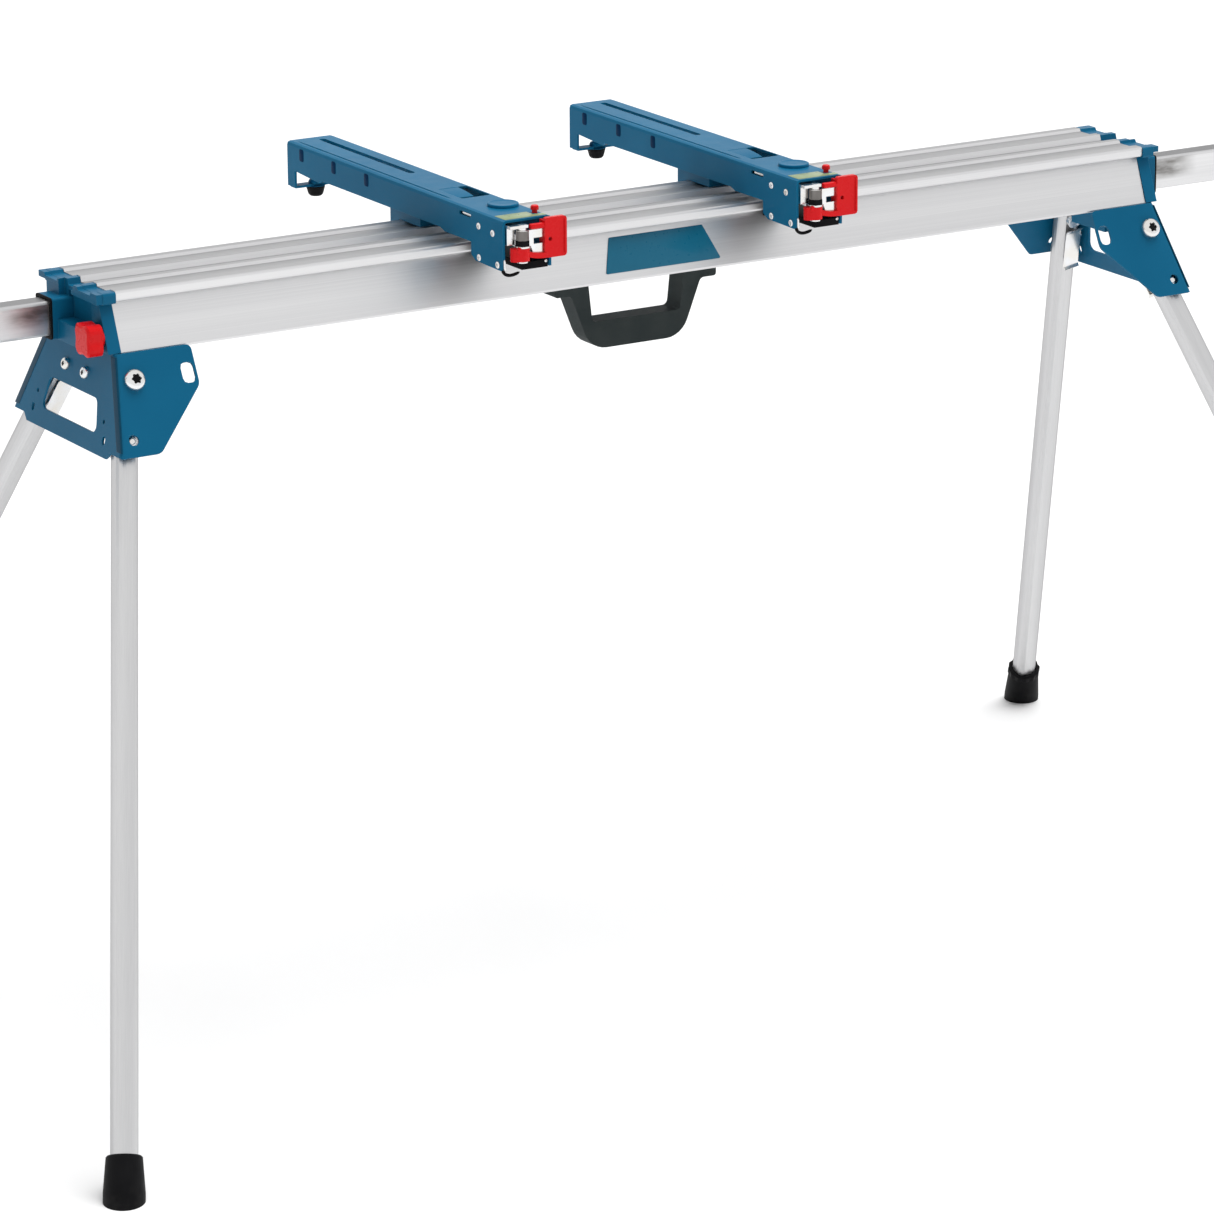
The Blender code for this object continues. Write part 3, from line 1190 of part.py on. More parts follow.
def make_lever_pin(name, steel, x):
    """The upright pin of the clamp lever, with the lug that carries it on the arm's nose."""
    place = Matrix.Translation(lever_axis(x))
    profile = [
        (0, -LEVER_PIN_FOOT),
        (LEVER_PIN_HEAD, -LEVER_PIN_FOOT),
        (LEVER_PIN_HEAD, -LEVER_PIN_FOOT + LUG_SHEET / 2),
        (LEVER_PIN_RADIUS - GAP, -LEVER_PIN_FOOT + LUG_SHEET / 2),
        (LEVER_PIN_RADIUS - GAP, -LEVER_PIN_TOP),
        (0, -LEVER_PIN_TOP),
    ]
    pin = part(name, turned(place, profile), steel)
    lug_top = ARM_TOP - LEVER_PIN_TOP - GAP
    lug_front = -ARM_FRONT - LEVER_PIN_REACH - LEVER_PIN_RADIUS
    lug_left = x + ARM_SHEET + GAP
    lug_right = x + LEVER_PIN_PLACE + LEVER_PIN_RADIUS
    back = -ARM_FRONT + JAW_THICKNESS
    upper = [
        (lug_front, lug_top),
        (lug_front, lug_top - LUG_SHEET),
        (back, lug_top - LUG_SHEET),
        (back, lug_top),
    ]
    combine(pin, prism(ACROSS, upper, lug_left, lug_right), "UNION")
    cheek_right = x + LEVER_PIN_PLACE - LEVER_PIN_RADIUS - CAM_BORE_WALL - RUNNING_GAP
    cheek_front = -ARM_FRONT - LEVER_PIN_REACH / 2
    cheek_foot = ARM_TOP - CAM_NOTCH_FOOT
    cheek = rectangle(cheek_front, cheek_foot, back - JAW_HOOK / 2, lug_top - LUG_SHEET / 2)
    combine(pin, prism(ACROSS, cheek, lug_left + GAP, cheek_right), "UNION")
    return apply_modifiers(pin)


def make_lever_cam(name, steel, x):
    """The plated cam: a barrel round the pin and a C-shaped jaw that reaches to the grip."""
    place = Matrix.Translation(lever_axis(x))
    barrel = prism(place, circle(LEVER_PIN_RADIUS + CAM_BORE_WALL), -CAM_BARREL_FOOT, -CAM_TOP)
    cam = part(name, barrel, steel)
    notch_end = CAM_REACH - CAM_NOTCH_REACH
    shoulder = GRIP_HUB_RADIUS + RUNNING_GAP
    outline = [
        (0, -CAM_BARREL_FOOT + GAP),
        (shoulder, -CAM_BARREL_FOOT + GAP),
        (shoulder + GRIP_TAIL_THICKNESS, -CAM_FOOT),
        (CAM_REACH, -CAM_FOOT),
        (CAM_REACH, -CAM_NOTCH_FOOT),
        (notch_end, -CAM_NOTCH_FOOT),
        (notch_end, -CAM_NOTCH_TOP),
        (CAM_REACH, -CAM_NOTCH_TOP),
        (CAM_REACH, -CAM_TOP - GAP),
        (0, -CAM_TOP - GAP),
    ]
    half = CAM_THICKNESS / 2
    combine(cam, prism(place @ FROM_FRONT, outline, -half, half), "UNION")
    combine(cam, prism(place, circle(LEVER_PIN_RADIUS), -CAM_FOOT - OVERRUN, OVERRUN))
    return apply_modifiers(cam)


def make_lever_grip(name, red, x):
    """The moulded grip: a broad plate with turned-in sides, and a curved tail to a nosed hub on the pin."""
    upright = Matrix.Translation(lever_axis(x))
    place = upright @ FROM_FRONT
    left = CAM_REACH + GAP
    right = left + GRIP_WIDTH
    front = LEVER_PIN_REACH
    plate = rounded(rectangle(left, -GRIP_FOOT, right, -GRIP_TOP), GRIP_LIP, steps=2)
    eye = circle(GRIP_EYE_RADIUS, (left + GRIP_WIDTH / 4, -(GRIP_TOP + GRIP_FOOT + GRIP_LIP) / 2), steps=10)
    grip = part(name, prism(place, plate, front - GRIP_THICKNESS, front, [eye]), red)
    side = rectangle(left + GAP, -GRIP_FOOT + GRIP_LIP, left + GRIP_LIP, -GRIP_TOP - GRIP_LIP)
    combine(grip, prism(place, side, front - GRIP_SIDE + GAP, front - GRIP_THICKNESS / 2), "UNION")
    far = rectangle(right - GRIP_LIP, -GRIP_FOOT + GRIP_LIP, right - GRIP_LIP / 3, -GRIP_TOP - GRIP_LIP)
    combine(grip, prism(place, far, front - GRIP_THICKNESS / 2, front + GRIP_LIP / 2), "UNION")
    centre = Vector((left, -GRIP_FOOT + GAP + GRIP_TAIL_RADIUS))
    sweep = math.radians(GRIP_TAIL_SWEEP_DEG)
    angles = [sweep * i / CIRCLE_STEPS for i in range(CIRCLE_STEPS + 1)]
    spokes = [Vector((-math.sin(angle), -math.cos(angle))) for angle in angles]
    outer = [centre + spoke * GRIP_TAIL_RADIUS for spoke in spokes]
    inner = [centre + spoke * (GRIP_TAIL_RADIUS - GRIP_TAIL_WIDTH) for spoke in reversed(spokes)]
    root = [(left + GRIP_LIP, inner[-1].y), (left + GRIP_LIP, outer[0].y)]
    tail_back = CAM_THICKNESS / 2 + GAP
    tail = [tuple(point) for point in outer + inner] + root
    combine(grip, prism(place, tail, tail_back, tail_back + GRIP_TAIL_THICKNESS), "UNION")
    nosed = egg(GRIP_HUB_RADIUS, GRIP_NOSE_REACH, GRIP_NOSE_RADIUS)
    hub = prism(upright, nosed, -GRIP_HUB_FOOT, -GRIP_HUB_TOP)
    combine(grip, hub, "UNION")
    combine(grip, prism(upright, circle(LEVER_PIN_RADIUS), -GRIP_FOOT - OVERRUN, OVERRUN))
    return apply_modifiers(grip)


def make_button(name, red, x):
    """A push button on a stem through the arm's top, with a flange that keeps it in."""
    place = Matrix.Translation((x + BUTTON_PLACE, -ARM_FRONT + BUTTON_FROM_FRONT, ARM_TOP))
    cap_foot = BUTTON_TRAVEL + GAP
    flange = -ARM_SHEET - RUNNING_GAP
    profile = [
        (0, flange - BUTTON_TRAVEL),
        (BUTTON_RADIUS, flange - BUTTON_TRAVEL),
        (BUTTON_RADIUS, flange),
        (BUTTON_STEM_RADIUS, flange),
        (BUTTON_STEM_RADIUS, cap_foot),
        (BUTTON_RADIUS, cap_foot),
        (BUTTON_RADIUS, cap_foot + BUTTON_HEIGHT * 3 / 4),
        (BUTTON_RADIUS * 3 / 4, cap_foot + BUTTON_HEIGHT),
        (0, cap_foot + BUTTON_HEIGHT),
    ]
    return part(name, turned(place, profile, steps=12), red)


# Extension bars and work supports. The left end is drawn.

def make_bar(aluminium):
    inner = [(y, z) for y, z in rounded(bar_outline(-BAR_WALL), BAR_ROUND / 3, steps=1)]
    outline = rounded(bar_outline(), BAR_ROUND, steps=2)
    sweep = outward(BAR_OUTER_END - BAR_PULLED_OUT - BAR_KEPT_INSIDE, BAR_OUTER_END)
    return part("extension_bar_left", prism(ACROSS, outline, *sweep, [inner]), aluminium)


def make_head(blue):
    """The casting on a bar's outer end: a socket for the bar and an upright one for the support's post."""
    near = BAR_OUTER_END - HEAD_LENGTH / 2
    far = BAR_OUTER_END + HEAD_LENGTH
    outline = rounded(bar_outline(GAP + HEAD_WALL), HEAD_ROUND, steps=3)
    head = part("support_head_left", prism(ACROSS, outline, *outward(near, far)), blue)
    bar_hole = prism(ACROSS, bar_outline(GAP), *outward(near - OVERRUN, BAR_OUTER_END + GAP))
    post_x = (BAR_OUTER_END + far) / 2
    post = Matrix.Translation((-post_x, BAR_CENTRE, 0))
    socket_top = BAR_TOP + HEAD_WALL + HEAD_SOCKET_HEIGHT
    boss_radius = POST_RADIUS + RUNNING_GAP + HEAD_WALL / 2
    boss = prism(post, circle(boss_radius), BAR_TOP, socket_top)
    combine(head, boss, "UNION")
    post_hole = circle(POST_RADIUS + RUNNING_GAP)
    prism(post, post_hole, BAR_FOOT - HEAD_WALL - OVERRUN, socket_top + OVERRUN, shape=bar_hole)
    bmesh.ops.recalc_face_normals(bar_hole, faces=bar_hole.faces)
    combine(head, bar_hole)
    return apply_modifiers(head)


def support_post_x():
    return BAR_OUTER_END + HEAD_LENGTH / 2


def make_support(blue):
    """A cross bar on a post, with two ears at its outer side for the flip stop."""
    top = SUPPORT_TOP
    foot = top - SUPPORT_THICKNESS
    centre = support_post_x()
    half = SUPPORT_LENGTH / 2
    place = axes((-centre, 0, 0), (0, 1, 0), (0, 0, 1))
    outline = rounded(rectangle(-half, foot, half, top), SUPPORT_ROUND, steps=2)
    support = part("work_support_left", prism(place, outline, -SUPPORT_WIDTH / 2, SUPPORT_WIDTH / 2), blue)
    post_place = Matrix.Translation((-centre, BAR_CENTRE, 0))
    post = prism(post_place, circle(POST_RADIUS), foot - POST_LENGTH, foot + SUPPORT_THICKNESS / 2)
    combine(support, post, "UNION")
    pin_z = foot + STOP_KNUCKLE_RADIUS
    ear_foot, ear_top = pin_z - STOP_KNUCKLE_RADIUS, pin_z + STOP_KNUCKLE_RADIUS
    ears = bmesh.new()
    for side in (-1, 1):
        near = side * (STOP_WIDTH / 2 + RUNNING_GAP)
        far = near + side * STOP_EAR
        ear = rectangle(-STOP_PIN_X, ear_foot, -SUPPORT_WIDTH / 4, ear_top)
        ear_round = [STOP_KNUCKLE_RADIUS, 0, 0, STOP_KNUCKLE_RADIUS]
        low, high = sorted((near, far))
        place_ear = Matrix.Translation((-centre, 0, 0)) @ FROM_FRONT
        prism(place_ear, rounded(ear, ear_round), -high, -low, shape=ears)
    bmesh.ops.recalc_face_normals(ears, faces=ears.faces)
    combine(support, ears, "UNION")
    pin_place = Matrix.Translation((-centre, 0, 0)) @ FROM_FRONT
    reach = STOP_WIDTH / 2 + RUNNING_GAP + STOP_EAR / 2
    pin = prism(pin_place, circle(STOP_PIN_RADIUS, (-STOP_PIN_X, pin_z), steps=10), -reach, reach)
    combine(support, pin, "UNION")
    return apply_modifiers(support)


def make_flip_stop(blue):
    """The stop plate: it hangs from a pin at the support's outer edge, and flips up above the work."""
    centre = support_post_x()
    pin_z = SUPPORT_TOP - SUPPORT_THICKNESS + STOP_KNUCKLE_RADIUS
    place = Matrix.Translation((-centre - STOP_PIN_X, 0, pin_z))
    half = STOP_WIDTH / 2
    barrel = part("flip_stop_left", prism(FROM_FRONT, circle(STOP_KNUCKLE_RADIUS), -half, half), blue, place)
    plate = rectangle(-STOP_KNUCKLE_RADIUS, -STOP_HEIGHT, -STOP_KNUCKLE_RADIUS + STOP_SHEET, 0)
    plate = rounded(plate, STOP_SHEET / 4, steps=1)
    combine(barrel, prism(FROM_FRONT, plate, -half + GAP, half - GAP), "UNION")
    bore = prism(FROM_FRONT, circle(STOP_KNUCKLE_BORE, steps=10), -half - OVERRUN, half + OVERRUN)
    combine(barrel, bore)
    return apply_modifiers(barrel)


def main():
    clear_scene()
    aluminium = finish("satin_aluminium", (0.72, 0.73, 0.74), 0.35, 0.9)
    blue = finish("blue_powder_coat", (0.012, 0.11, 0.21), 0.35)
    red = finish("red_plastic", (0.62, 0.012, 0.010), 0.35)
    black = finish("black_plastic", (0.012, 0.012, 0.012), 0.45)
    grey = finish("dark_grey_plastic", (0.035, 0.038, 0.040), 0.5)
    rubber = finish("black_rubber", (0.010, 0.010, 0.011), 0.7)
    steel = finish("plated_steel", (0.62, 0.63, 0.64), 0.28, 1.0)

    make_beam(aluminium)
    make_handle(grey)
    for made in (
        make_end_cap(blue),
        make_collar(black),
        make_clamp_knob(red),
        make_bracket(blue),
        make_mount_block(blue),
        make_bar(aluminium),
        make_head(blue),
        make_support(blue),
        make_flip_stop(blue),
    ):
        turned_copy(made, made.name.replace("left", "right"))

    corners = (("front_left", -1, -1), ("front_right", 1, -1), ("rear_left", -1, 1), ("rear_right", 1, 1))
    for corner, end, side in corners:
        place = leg_frame(end, side)
        make_leg_tube(f"leg_{corner}", aluminium, place)
        if corner == "rear_right":
            make_foot(f"foot_{corner}", rubber, place, LEVEL_FOOT_LENGTH, wavy=True)
        else:
            make_foot(f"foot_{corner}", rubber, place)
        make_pivot_bolt(f"pivot_bolt_{corner}", steel, place)
        make_lock_pin(f"lock_pin_{corner}", steel, place)
        make_pull_plate(f"pull_plate_{corner}", steel, place)

    for side, x in zip(ARM_NAMES, ARM_PLACES):
        make_arm_channel(f"arm_channel_{side}", blue, x)
        make_rear_jaw(f"rear_jaw_{side}", blue, x)
        make_front_jaw(f"front_jaw_{side}", black, x)
        make_bumper(f"arm_bumper_{side}", rubber, x)
        make_lever_pin(f"lever_pin_{side}", steel, x)
        make_lever_cam(f"lever_cam_{side}", steel, x)
        make_lever_grip(f"lever_grip_{side}", red, x)
        make_button(f"release_button_{side}", red, x)


main()
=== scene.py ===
# %% [markdown]
# A folding stand for a mitre saw: a long drawn-aluminium beam on four folding legs, two painted arms
# that carry the saw, and a sliding bar at each end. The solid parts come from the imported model, which
# stays as it is. This script gives each of them a finish, adds the small things that only show close up,
# and sets up the light and the camera.

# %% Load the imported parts
import json
import math

import bpy
import numpy as np
from mathutils import Matrix, Vector


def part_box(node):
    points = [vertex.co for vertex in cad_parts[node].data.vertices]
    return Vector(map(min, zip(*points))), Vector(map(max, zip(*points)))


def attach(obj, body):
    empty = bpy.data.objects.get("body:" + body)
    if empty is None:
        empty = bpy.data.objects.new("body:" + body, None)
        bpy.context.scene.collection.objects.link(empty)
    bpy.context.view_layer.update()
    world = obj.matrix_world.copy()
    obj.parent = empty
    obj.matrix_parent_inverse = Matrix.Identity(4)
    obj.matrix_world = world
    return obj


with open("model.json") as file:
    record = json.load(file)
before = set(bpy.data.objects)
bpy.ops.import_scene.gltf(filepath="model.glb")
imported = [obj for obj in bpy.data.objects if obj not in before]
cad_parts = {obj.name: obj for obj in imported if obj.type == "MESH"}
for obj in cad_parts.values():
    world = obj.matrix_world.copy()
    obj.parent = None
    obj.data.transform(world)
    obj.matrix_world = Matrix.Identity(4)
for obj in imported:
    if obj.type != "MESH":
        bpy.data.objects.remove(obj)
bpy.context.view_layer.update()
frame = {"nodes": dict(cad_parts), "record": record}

print("parts loaded:", len(frame["nodes"]))

# %% [markdown]
# ## Camera
# The photograph was taken from the front left with a long lens. Its place was worked out beforehand from
# the corners of the beam and the arms, so the render and the photograph lie on top of each other.

# %% Camera
IMAGE_PIXELS = 1214
FOCAL_PIXELS = 5716.9
SENSOR_MM = 36.0
YAW, PITCH, ROLL = 0.541628, 0.291925, -0.0060731
MOVED_RIGHT, MOVED_UP, DISTANCE = -0.021475, 0.337228, 6.17652
FARTHEST_SEEN = 100


def add_camera():
    """The view axis is turned by YAW from +Y, tipped down by PITCH, and the picture turned by ROLL."""
    ahead = Vector((math.sin(YAW) * math.cos(PITCH), math.cos(YAW) * math.cos(PITCH), -math.sin(PITCH)))
    level = Vector((math.cos(YAW), -math.sin(YAW), 0))
    upright = level.cross(ahead)
    right = level * math.cos(ROLL) + upright * math.sin(ROLL)
    up = upright * math.cos(ROLL) - level * math.sin(ROLL)
    camera = bpy.data.objects.new("camera", bpy.data.cameras.new("camera"))
    camera.data.sensor_width = SENSOR_MM
    camera.data.lens = SENSOR_MM * FOCAL_PIXELS / IMAGE_PIXELS
    camera.data.clip_end = FARTHEST_SEEN
    bpy.context.scene.collection.objects.link(camera)
    turn = np.eye(4)
    turn[:3, 0], turn[:3, 1], turn[:3, 2] = right, up, -ahead
    turn[:3, 3] = right * MOVED_RIGHT + up * MOVED_UP - ahead * DISTANCE
    camera.matrix_world = Matrix(turn.tolist())
    bpy.context.scene.camera = camera
    return camera


camera = add_camera()
print("camera height:", round(camera.matrix_world.translation.z, 2), "m")

# %% [markdown]
# ## Light and floor
# A white studio. One very broad sun from above stands for a soft box over the stand, so the tops are
# lighter than the sides, and an even world fills in. The world is brighter for camera and mirror rays than
# for the light that it throws, so the background is white while the paint keeps its own colour. Metal
# mirrors the white world alone: with the sun on top of that its broad faces would clip.

# %% Light and floor
FLOOR_HALF = 14.0
FLOOR_WHITE = (0.94, 0.94, 0.94, 1.0)
FLOOR_ROUGHNESS, FLOOR_GLOSS = 0.8, 0.1
SKY_LIGHT = 0.42
SUN_STRENGTH = 2.9
SUN_SPREAD = 1.1
SUN_STANDS = Vector((0.30, -0.05, 0.95))


def add_sun():
    """A sun as wide as a soft box: its rays come from all over a cone of SUN_SPREAD radians."""
    sun = bpy.data.lights.new("soft_box", "SUN")
    sun.energy = SUN_STRENGTH
    sun.angle = SUN_SPREAD
    sun_object = bpy.data.objects.new("soft_box", sun)
    sun_object.rotation_euler = (-SUN_STANDS).to_track_quat("-Z", "Y").to_euler()
    sun_object.visible_glossy = False
    bpy.context.scene.collection.objects.link(sun_object)


def add_world():
    """White at strength 1 where a camera, mirror or glass ray meets it, and SKY_LIGHT as a lamp."""
    world = bpy.data.worlds.new("studio")
    bpy.context.scene.world = world
    world.use_nodes = True
    tree = world.node_tree
    sky = tree.nodes["Background"]
    sky.inputs["Color"].default_value = (1, 1, 1, 1)
    path = tree.nodes.new("ShaderNodeLightPath")
    seen = path.outputs["Is Camera Ray"]
    for kind in ("Is Glossy Ray", "Is Transmission Ray"):
        either = tree.nodes.new("ShaderNodeMath")
        either.operation = "MAXIMUM"
        tree.links.new(seen, either.inputs[0])
        tree.links.new(path.outputs[kind], either.inputs[1])
        seen = either.outputs[0]
    strength = tree.nodes.new("ShaderNodeMapRange")
    strength.inputs["To Min"].default_value = SKY_LIGHT
    strength.inputs["To Max"].default_value = 1.0
    tree.links.new(seen, strength.inputs["Value"])
    tree.links.new(strength.outputs[0], sky.inputs["Strength"])


def add_floor():
    """A level square that reaches FLOOR_HALF metres to each side."""
    corners = np.array([(-1, -1, 0), (1, -1, 0), (1, 1, 0), (-1, 1, 0)]) * FLOOR_HALF
    mesh = bpy.data.meshes.new("floor")
    mesh.from_pydata(corners.tolist(), [], [(0, 1, 2, 3)])
    floor = bpy.data.objects.new("floor", mesh)
    material = bpy.data.materials.new("pale_floor")
    material.use_nodes = True
    shader = material.node_tree.nodes["Principled BSDF"]
    shader.inputs["Base Color"].default_value = FLOOR_WHITE
    shader.inputs["Roughness"].default_value = FLOOR_ROUGHNESS
    shader.inputs["Specular IOR Level"].default_value = FLOOR_GLOSS
    mesh.materials.append(material)
    bpy.context.scene.collection.objects.link(floor)


add_sun()
add_world()
add_floor()
bpy.context.scene.view_settings.view_transform = "Standard"
print("light on a level top:", round(SKY_LIGHT + SUN_STRENGTH * SUN_STANDS.normalized().z / math.pi, 2))

# %% [markdown]
# ## Sums on wires
# A finish is a node tree. Written as expressions, such as `tone * 0.1 + 0.9`, it stays short: a small class
# wraps a socket and adds a Math node for each sum.

# %% Wires
class Wire:
    """An output socket of a finish. An expression on wires and numbers adds its Math nodes."""

    def __init__(self, finish, socket):
        self.finish = finish
        self.socket = socket

    def sum_of(self, operation, first, second):
        """A Math node on two values, each of them a wire or a number."""
        return self.finish.node("Math", {"operation": operation}, {0: first, 1: second})

    def __add__(self, other):
        return self.sum_of("ADD", self, other)

    def __radd__(self, other):
        return self.sum_of("ADD", other, self)

    def __sub__(self, other):
        return self.sum_of("SUBTRACT", self, other)

    def __rsub__(self, other):
        return self.sum_of("SUBTRACT", other, self)

    def __mul__(self, other):
        return self.sum_of("MULTIPLY", self, other)

    def __rmul__(self, other):
        return self.sum_of("MULTIPLY", other, self)

    def between(self, low, high):
        """0 where the value is low, 1 where it is high, and a straight line in between."""
        return self.finish.node("MapRange", {}, {"Value": self, "From Min": low, "From Max": high})


# %% [markdown]
# ## Writing a finish
# Everything else comes from one method that takes the kind of node, its settings and the values of its
# sockets. The patterns use object coordinates, so a pattern rides along when a joint moves its part. A
# cloud is soft noise, and in a recipe such as `cloud * 0.12 + 0.29` the roughness swings from 0.29 to 0.41.

# %% Finishes
MIX_FACTOR, MIX_A, MIX_B, MIX_COLOUR = 0, 6, 7, 2
DOT_VALUE = 1
GEOMETRY_NORMAL = 1
OBJECT_COORDINATES = 3
EDGE_LEAST, EDGE_FULL = 0.004, 0.09


class Finish:
    """A Principled material, with the places that its patterns are worked out at."""

    def __init__(self, name, roughness, metallic=0.0, **fixed):
        self.material = bpy.data.materials.new(name)
        self.material.use_nodes = True
        self.tree = self.material.node_tree
        self.shader = self.tree.nodes["Principled BSDF"]
        self.shader.inputs["Roughness"].default_value = roughness
        self.shader.inputs["Metallic"].default_value = metallic
        for socket, value in fixed.items():
            self.shader.inputs[socket.replace("_", " ")].default_value = value
        self.places = self.node("TexCoord", output=OBJECT_COORDINATES)

    def node(self, kind, settings=None, values=None, output=0):
        """Any node. Settings are its own, such as an operation or a ramp's stops, and are set first.
        Values go into its sockets."""
        made = self.tree.nodes.new("ShaderNode" + kind)
        for setting, value in (settings or {}).items():
            setattr(made, setting, value)
        for socket, value in (values or {}).items():
            self.feed(made.inputs[socket], value)
        return Wire(self, made.outputs[output])

    def feed(self, socket, value):
        """Links a wire to a socket, or sets the socket to a plain value."""
        if isinstance(value, Wire):
            self.tree.links.new(value.socket, socket)
        else:
            socket.default_value = value

    def give(self, socket, value):
        """Sets one of the shader's own sockets, to a value or to a wire."""
        self.feed(self.shader.inputs[socket], value)

    def blend(self, factor, first, second):
        """A colour from first, at factor 0, to second, at factor 1."""
        values = {MIX_FACTOR: factor, MIX_A: first, MIX_B: second}
        return self.node("Mix", {"data_type": "RGBA"}, values, MIX_COLOUR)

    def stretched(self, scale, turn=(0, 0, 0)):
        """The places turned, then stretched, so that a pattern runs along one direction."""
        turned = self.node("Mapping", {}, {"Vector": self.places, "Rotation": turn})
        return self.node("Mapping", {}, {"Vector": turned, "Scale": scale})

    def cloud(self, scale, detail=2.0, places=None):
        """Soft noise from 0 to 1, with this many swells to a metre."""
        values = {"Vector": places or self.places, "Scale": scale, "Detail": detail}
        return self.node("TexNoise", {}, values)

    def edges(self, radius):
        """A normal with the edges rounded by radius, and a mask that is 1 on the edges."""
        soft = self.node("Bevel", {"samples": 4}, {"Radius": radius})
        hard = self.node("NewGeometry", output=GEOMETRY_NORMAL)
        likeness = self.node("VectorMath", {"operation": "DOT_PRODUCT"}, {0: soft, 1: hard}, DOT_VALUE)
        return soft, (1 - likeness).between(EDGE_LEAST, EDGE_FULL)

    def bump(self, height, normal, distance, strength):
        """Fine relief on top of a normal: distance is in metres, for a height from 0 to 1."""
        values = {"Height": height, "Distance": distance, "Strength": strength, "Normal": normal}
        self.give("Normal", self.node("Bump", {}, values))


def colour(red, green, blue):
    """An opaque colour from its linear channels."""
    return (red, green, blue, 1.0)


def dimmed(tone, share):
    """A colour with each channel times a share, and still opaque."""
    return colour(*(channel * share for channel in tone[:3]))


# %% [markdown]
# ## Powder coat
# The brackets, arms and castings are steel and aluminium under a blue powder coat. Powder flows out to a
# skin like that of an orange, so the gloss breaks up finely. Its sharp edges are paler: partly a thin, worn
# coat and partly a painted highlight.
# The coat of the arms is a little lighter and duller than that of the brackets and castings.

# %% Powder coat
BLUE = colour(0.006, 0.120, 0.232)
BLUE_EDGE_WEAR_AND_HIGHLIGHT = colour(0.040, 0.240, 0.390)
BLUE_DEEP = colour(0.003, 0.100, 0.200)
ARM_SHARE, ARM_GLOSS = 1.18, 0.05


def powder_coat(name, share=1.0, gloss=0.09):
    """Blue paint, times a share of its brightness. Gloss is the strength of its mirror layer."""
    paint = Finish(name, roughness=0.36, Specular_IOR_Level=gloss)
    normal, edge = paint.edges(radius=0.0007)
    drift = paint.cloud(9, detail=3)
    peel = paint.cloud(900, detail=1)
    body = paint.blend(drift.between(0.3, 0.75), dimmed(BLUE_DEEP, share), dimmed(BLUE, share))
    # Paler edges: partly a thin, worn coat and partly a painted highlight.
    paint.give("Base Color", paint.blend(edge * 0.55, body, dimmed(BLUE_EDGE_WEAR_AND_HIGHLIGHT, share)))
    paint.give("Roughness", paint.cloud(60, detail=3) * 0.12 + 0.29)
    paint.bump(peel, normal, distance=0.00005, strength=0.6)
    return paint.material


blue_paint = powder_coat("blue_powder_coat")
arm_paint = powder_coat("blue_arm_coat", ARM_SHARE, ARM_GLOSS)
print("made", blue_paint.name, "and", arm_paint.name)

# %% [markdown]
# ## Drawn aluminium
# The beam, the bars and the legs are pressed through a die and anodised. The die leaves lines along the
# length, so the pattern is noise stretched a thousandfold along the profile. Each leg slants another way,
# so the same finish is made again with its pattern turned to that leg. Seen at a glancing angle the fine
# lines shade each other, so the specular tint, which is a metal's colour at the rim, is a darker grey.
# The bars have a painted dark reflection of the collars on each side, where they come out of them.

# %% Drawn aluminium
PALE_METAL = colour(0.745, 0.745, 0.75)
GREY_METAL = colour(0.625, 0.625, 0.635)
EDGE_WEAR_AND_HIGHLIGHT_METAL = colour(0.88, 0.88, 0.89)
# Colour, places and strength of the painted dark reflection of the collars on the bars
REFLECTION_GREY = colour(0.060, 0.052, 0.042)
REFLECTION_OUTSIDE, REFLECTION_INSIDE = (0.714, 0.680), (0.640, 0.655)
REFLECTION_TOP, REFLECTION_FOOT = (0.7685, 0.7660), (0.743, 0.751)
REFLECTION_STRENGTH = 0.75
BEAM_ROUGHNESS, BAR_ROUGHNESS, LEG_ROUGHNESS = 0.40, 0.35, 0.36
BAR_RIM, LEG_SHARE = 0.25, 0.87


def collar_reflection(metal):
    """A painted dark reflection of the collar: a cloudy patch, 1 between two distances from the middle of
    the stand and two heights, else 0.
    """
    x = metal.node("SeparateXYZ", {}, {0: metal.places})
    z = metal.node("SeparateXYZ", {}, {0: metal.places}, 2)
    far = metal.node("Math", {"operation": "ABSOLUTE"}, {0: x})
    beside = far.between(*REFLECTION_OUTSIDE) * far.between(*REFLECTION_INSIDE)
    patch = metal.cloud(1, detail=4, places=metal.stretched((25, 60, 90))).between(0.25, 0.60)
    return patch * beside * z.between(*REFLECTION_TOP) * z.between(*REFLECTION_FOOT)


def drawn_aluminium(name, turn=(0, 0, 0), roughness=0.30, rim=0.52, share=1.0, with_collar_reflection=False):
    """Lines lie along the X axis of places that were turned by turn, an XYZ Euler."""
    metal = Finish(name, roughness, metallic=1.0, Specular_Tint=colour(rim, rim, rim))
    normal, edge = metal.edges(radius=0.0005)
    fine = metal.cloud(1, detail=2, places=metal.stretched((1.5, 1300, 1300), turn))
    broad = metal.cloud(1, detail=3, places=metal.stretched((0.7, 60, 60), turn))
    spots = metal.cloud(35, detail=4)
    tone = broad * 0.6 + fine * 0.4
    body = metal.blend(tone.between(0.3, 0.7), dimmed(GREY_METAL, share), dimmed(PALE_METAL, share))
    # Brighter edges: partly wear and partly a painted highlight.
    body = metal.blend(edge * 0.3, body, dimmed(EDGE_WEAR_AND_HIGHLIGHT_METAL, share))
    # The dark patch beside each collar is a painted reflection.
    if with_collar_reflection:
        body = metal.blend(collar_reflection(metal) * REFLECTION_STRENGTH, body, REFLECTION_GREY)
    metal.give("Base Color", body)
    metal.give("Roughness", fine * 0.14 + spots * 0.06 + (roughness - 0.10))
    metal.bump(fine, normal, distance=0.00002, strength=0.3)
    return metal.material


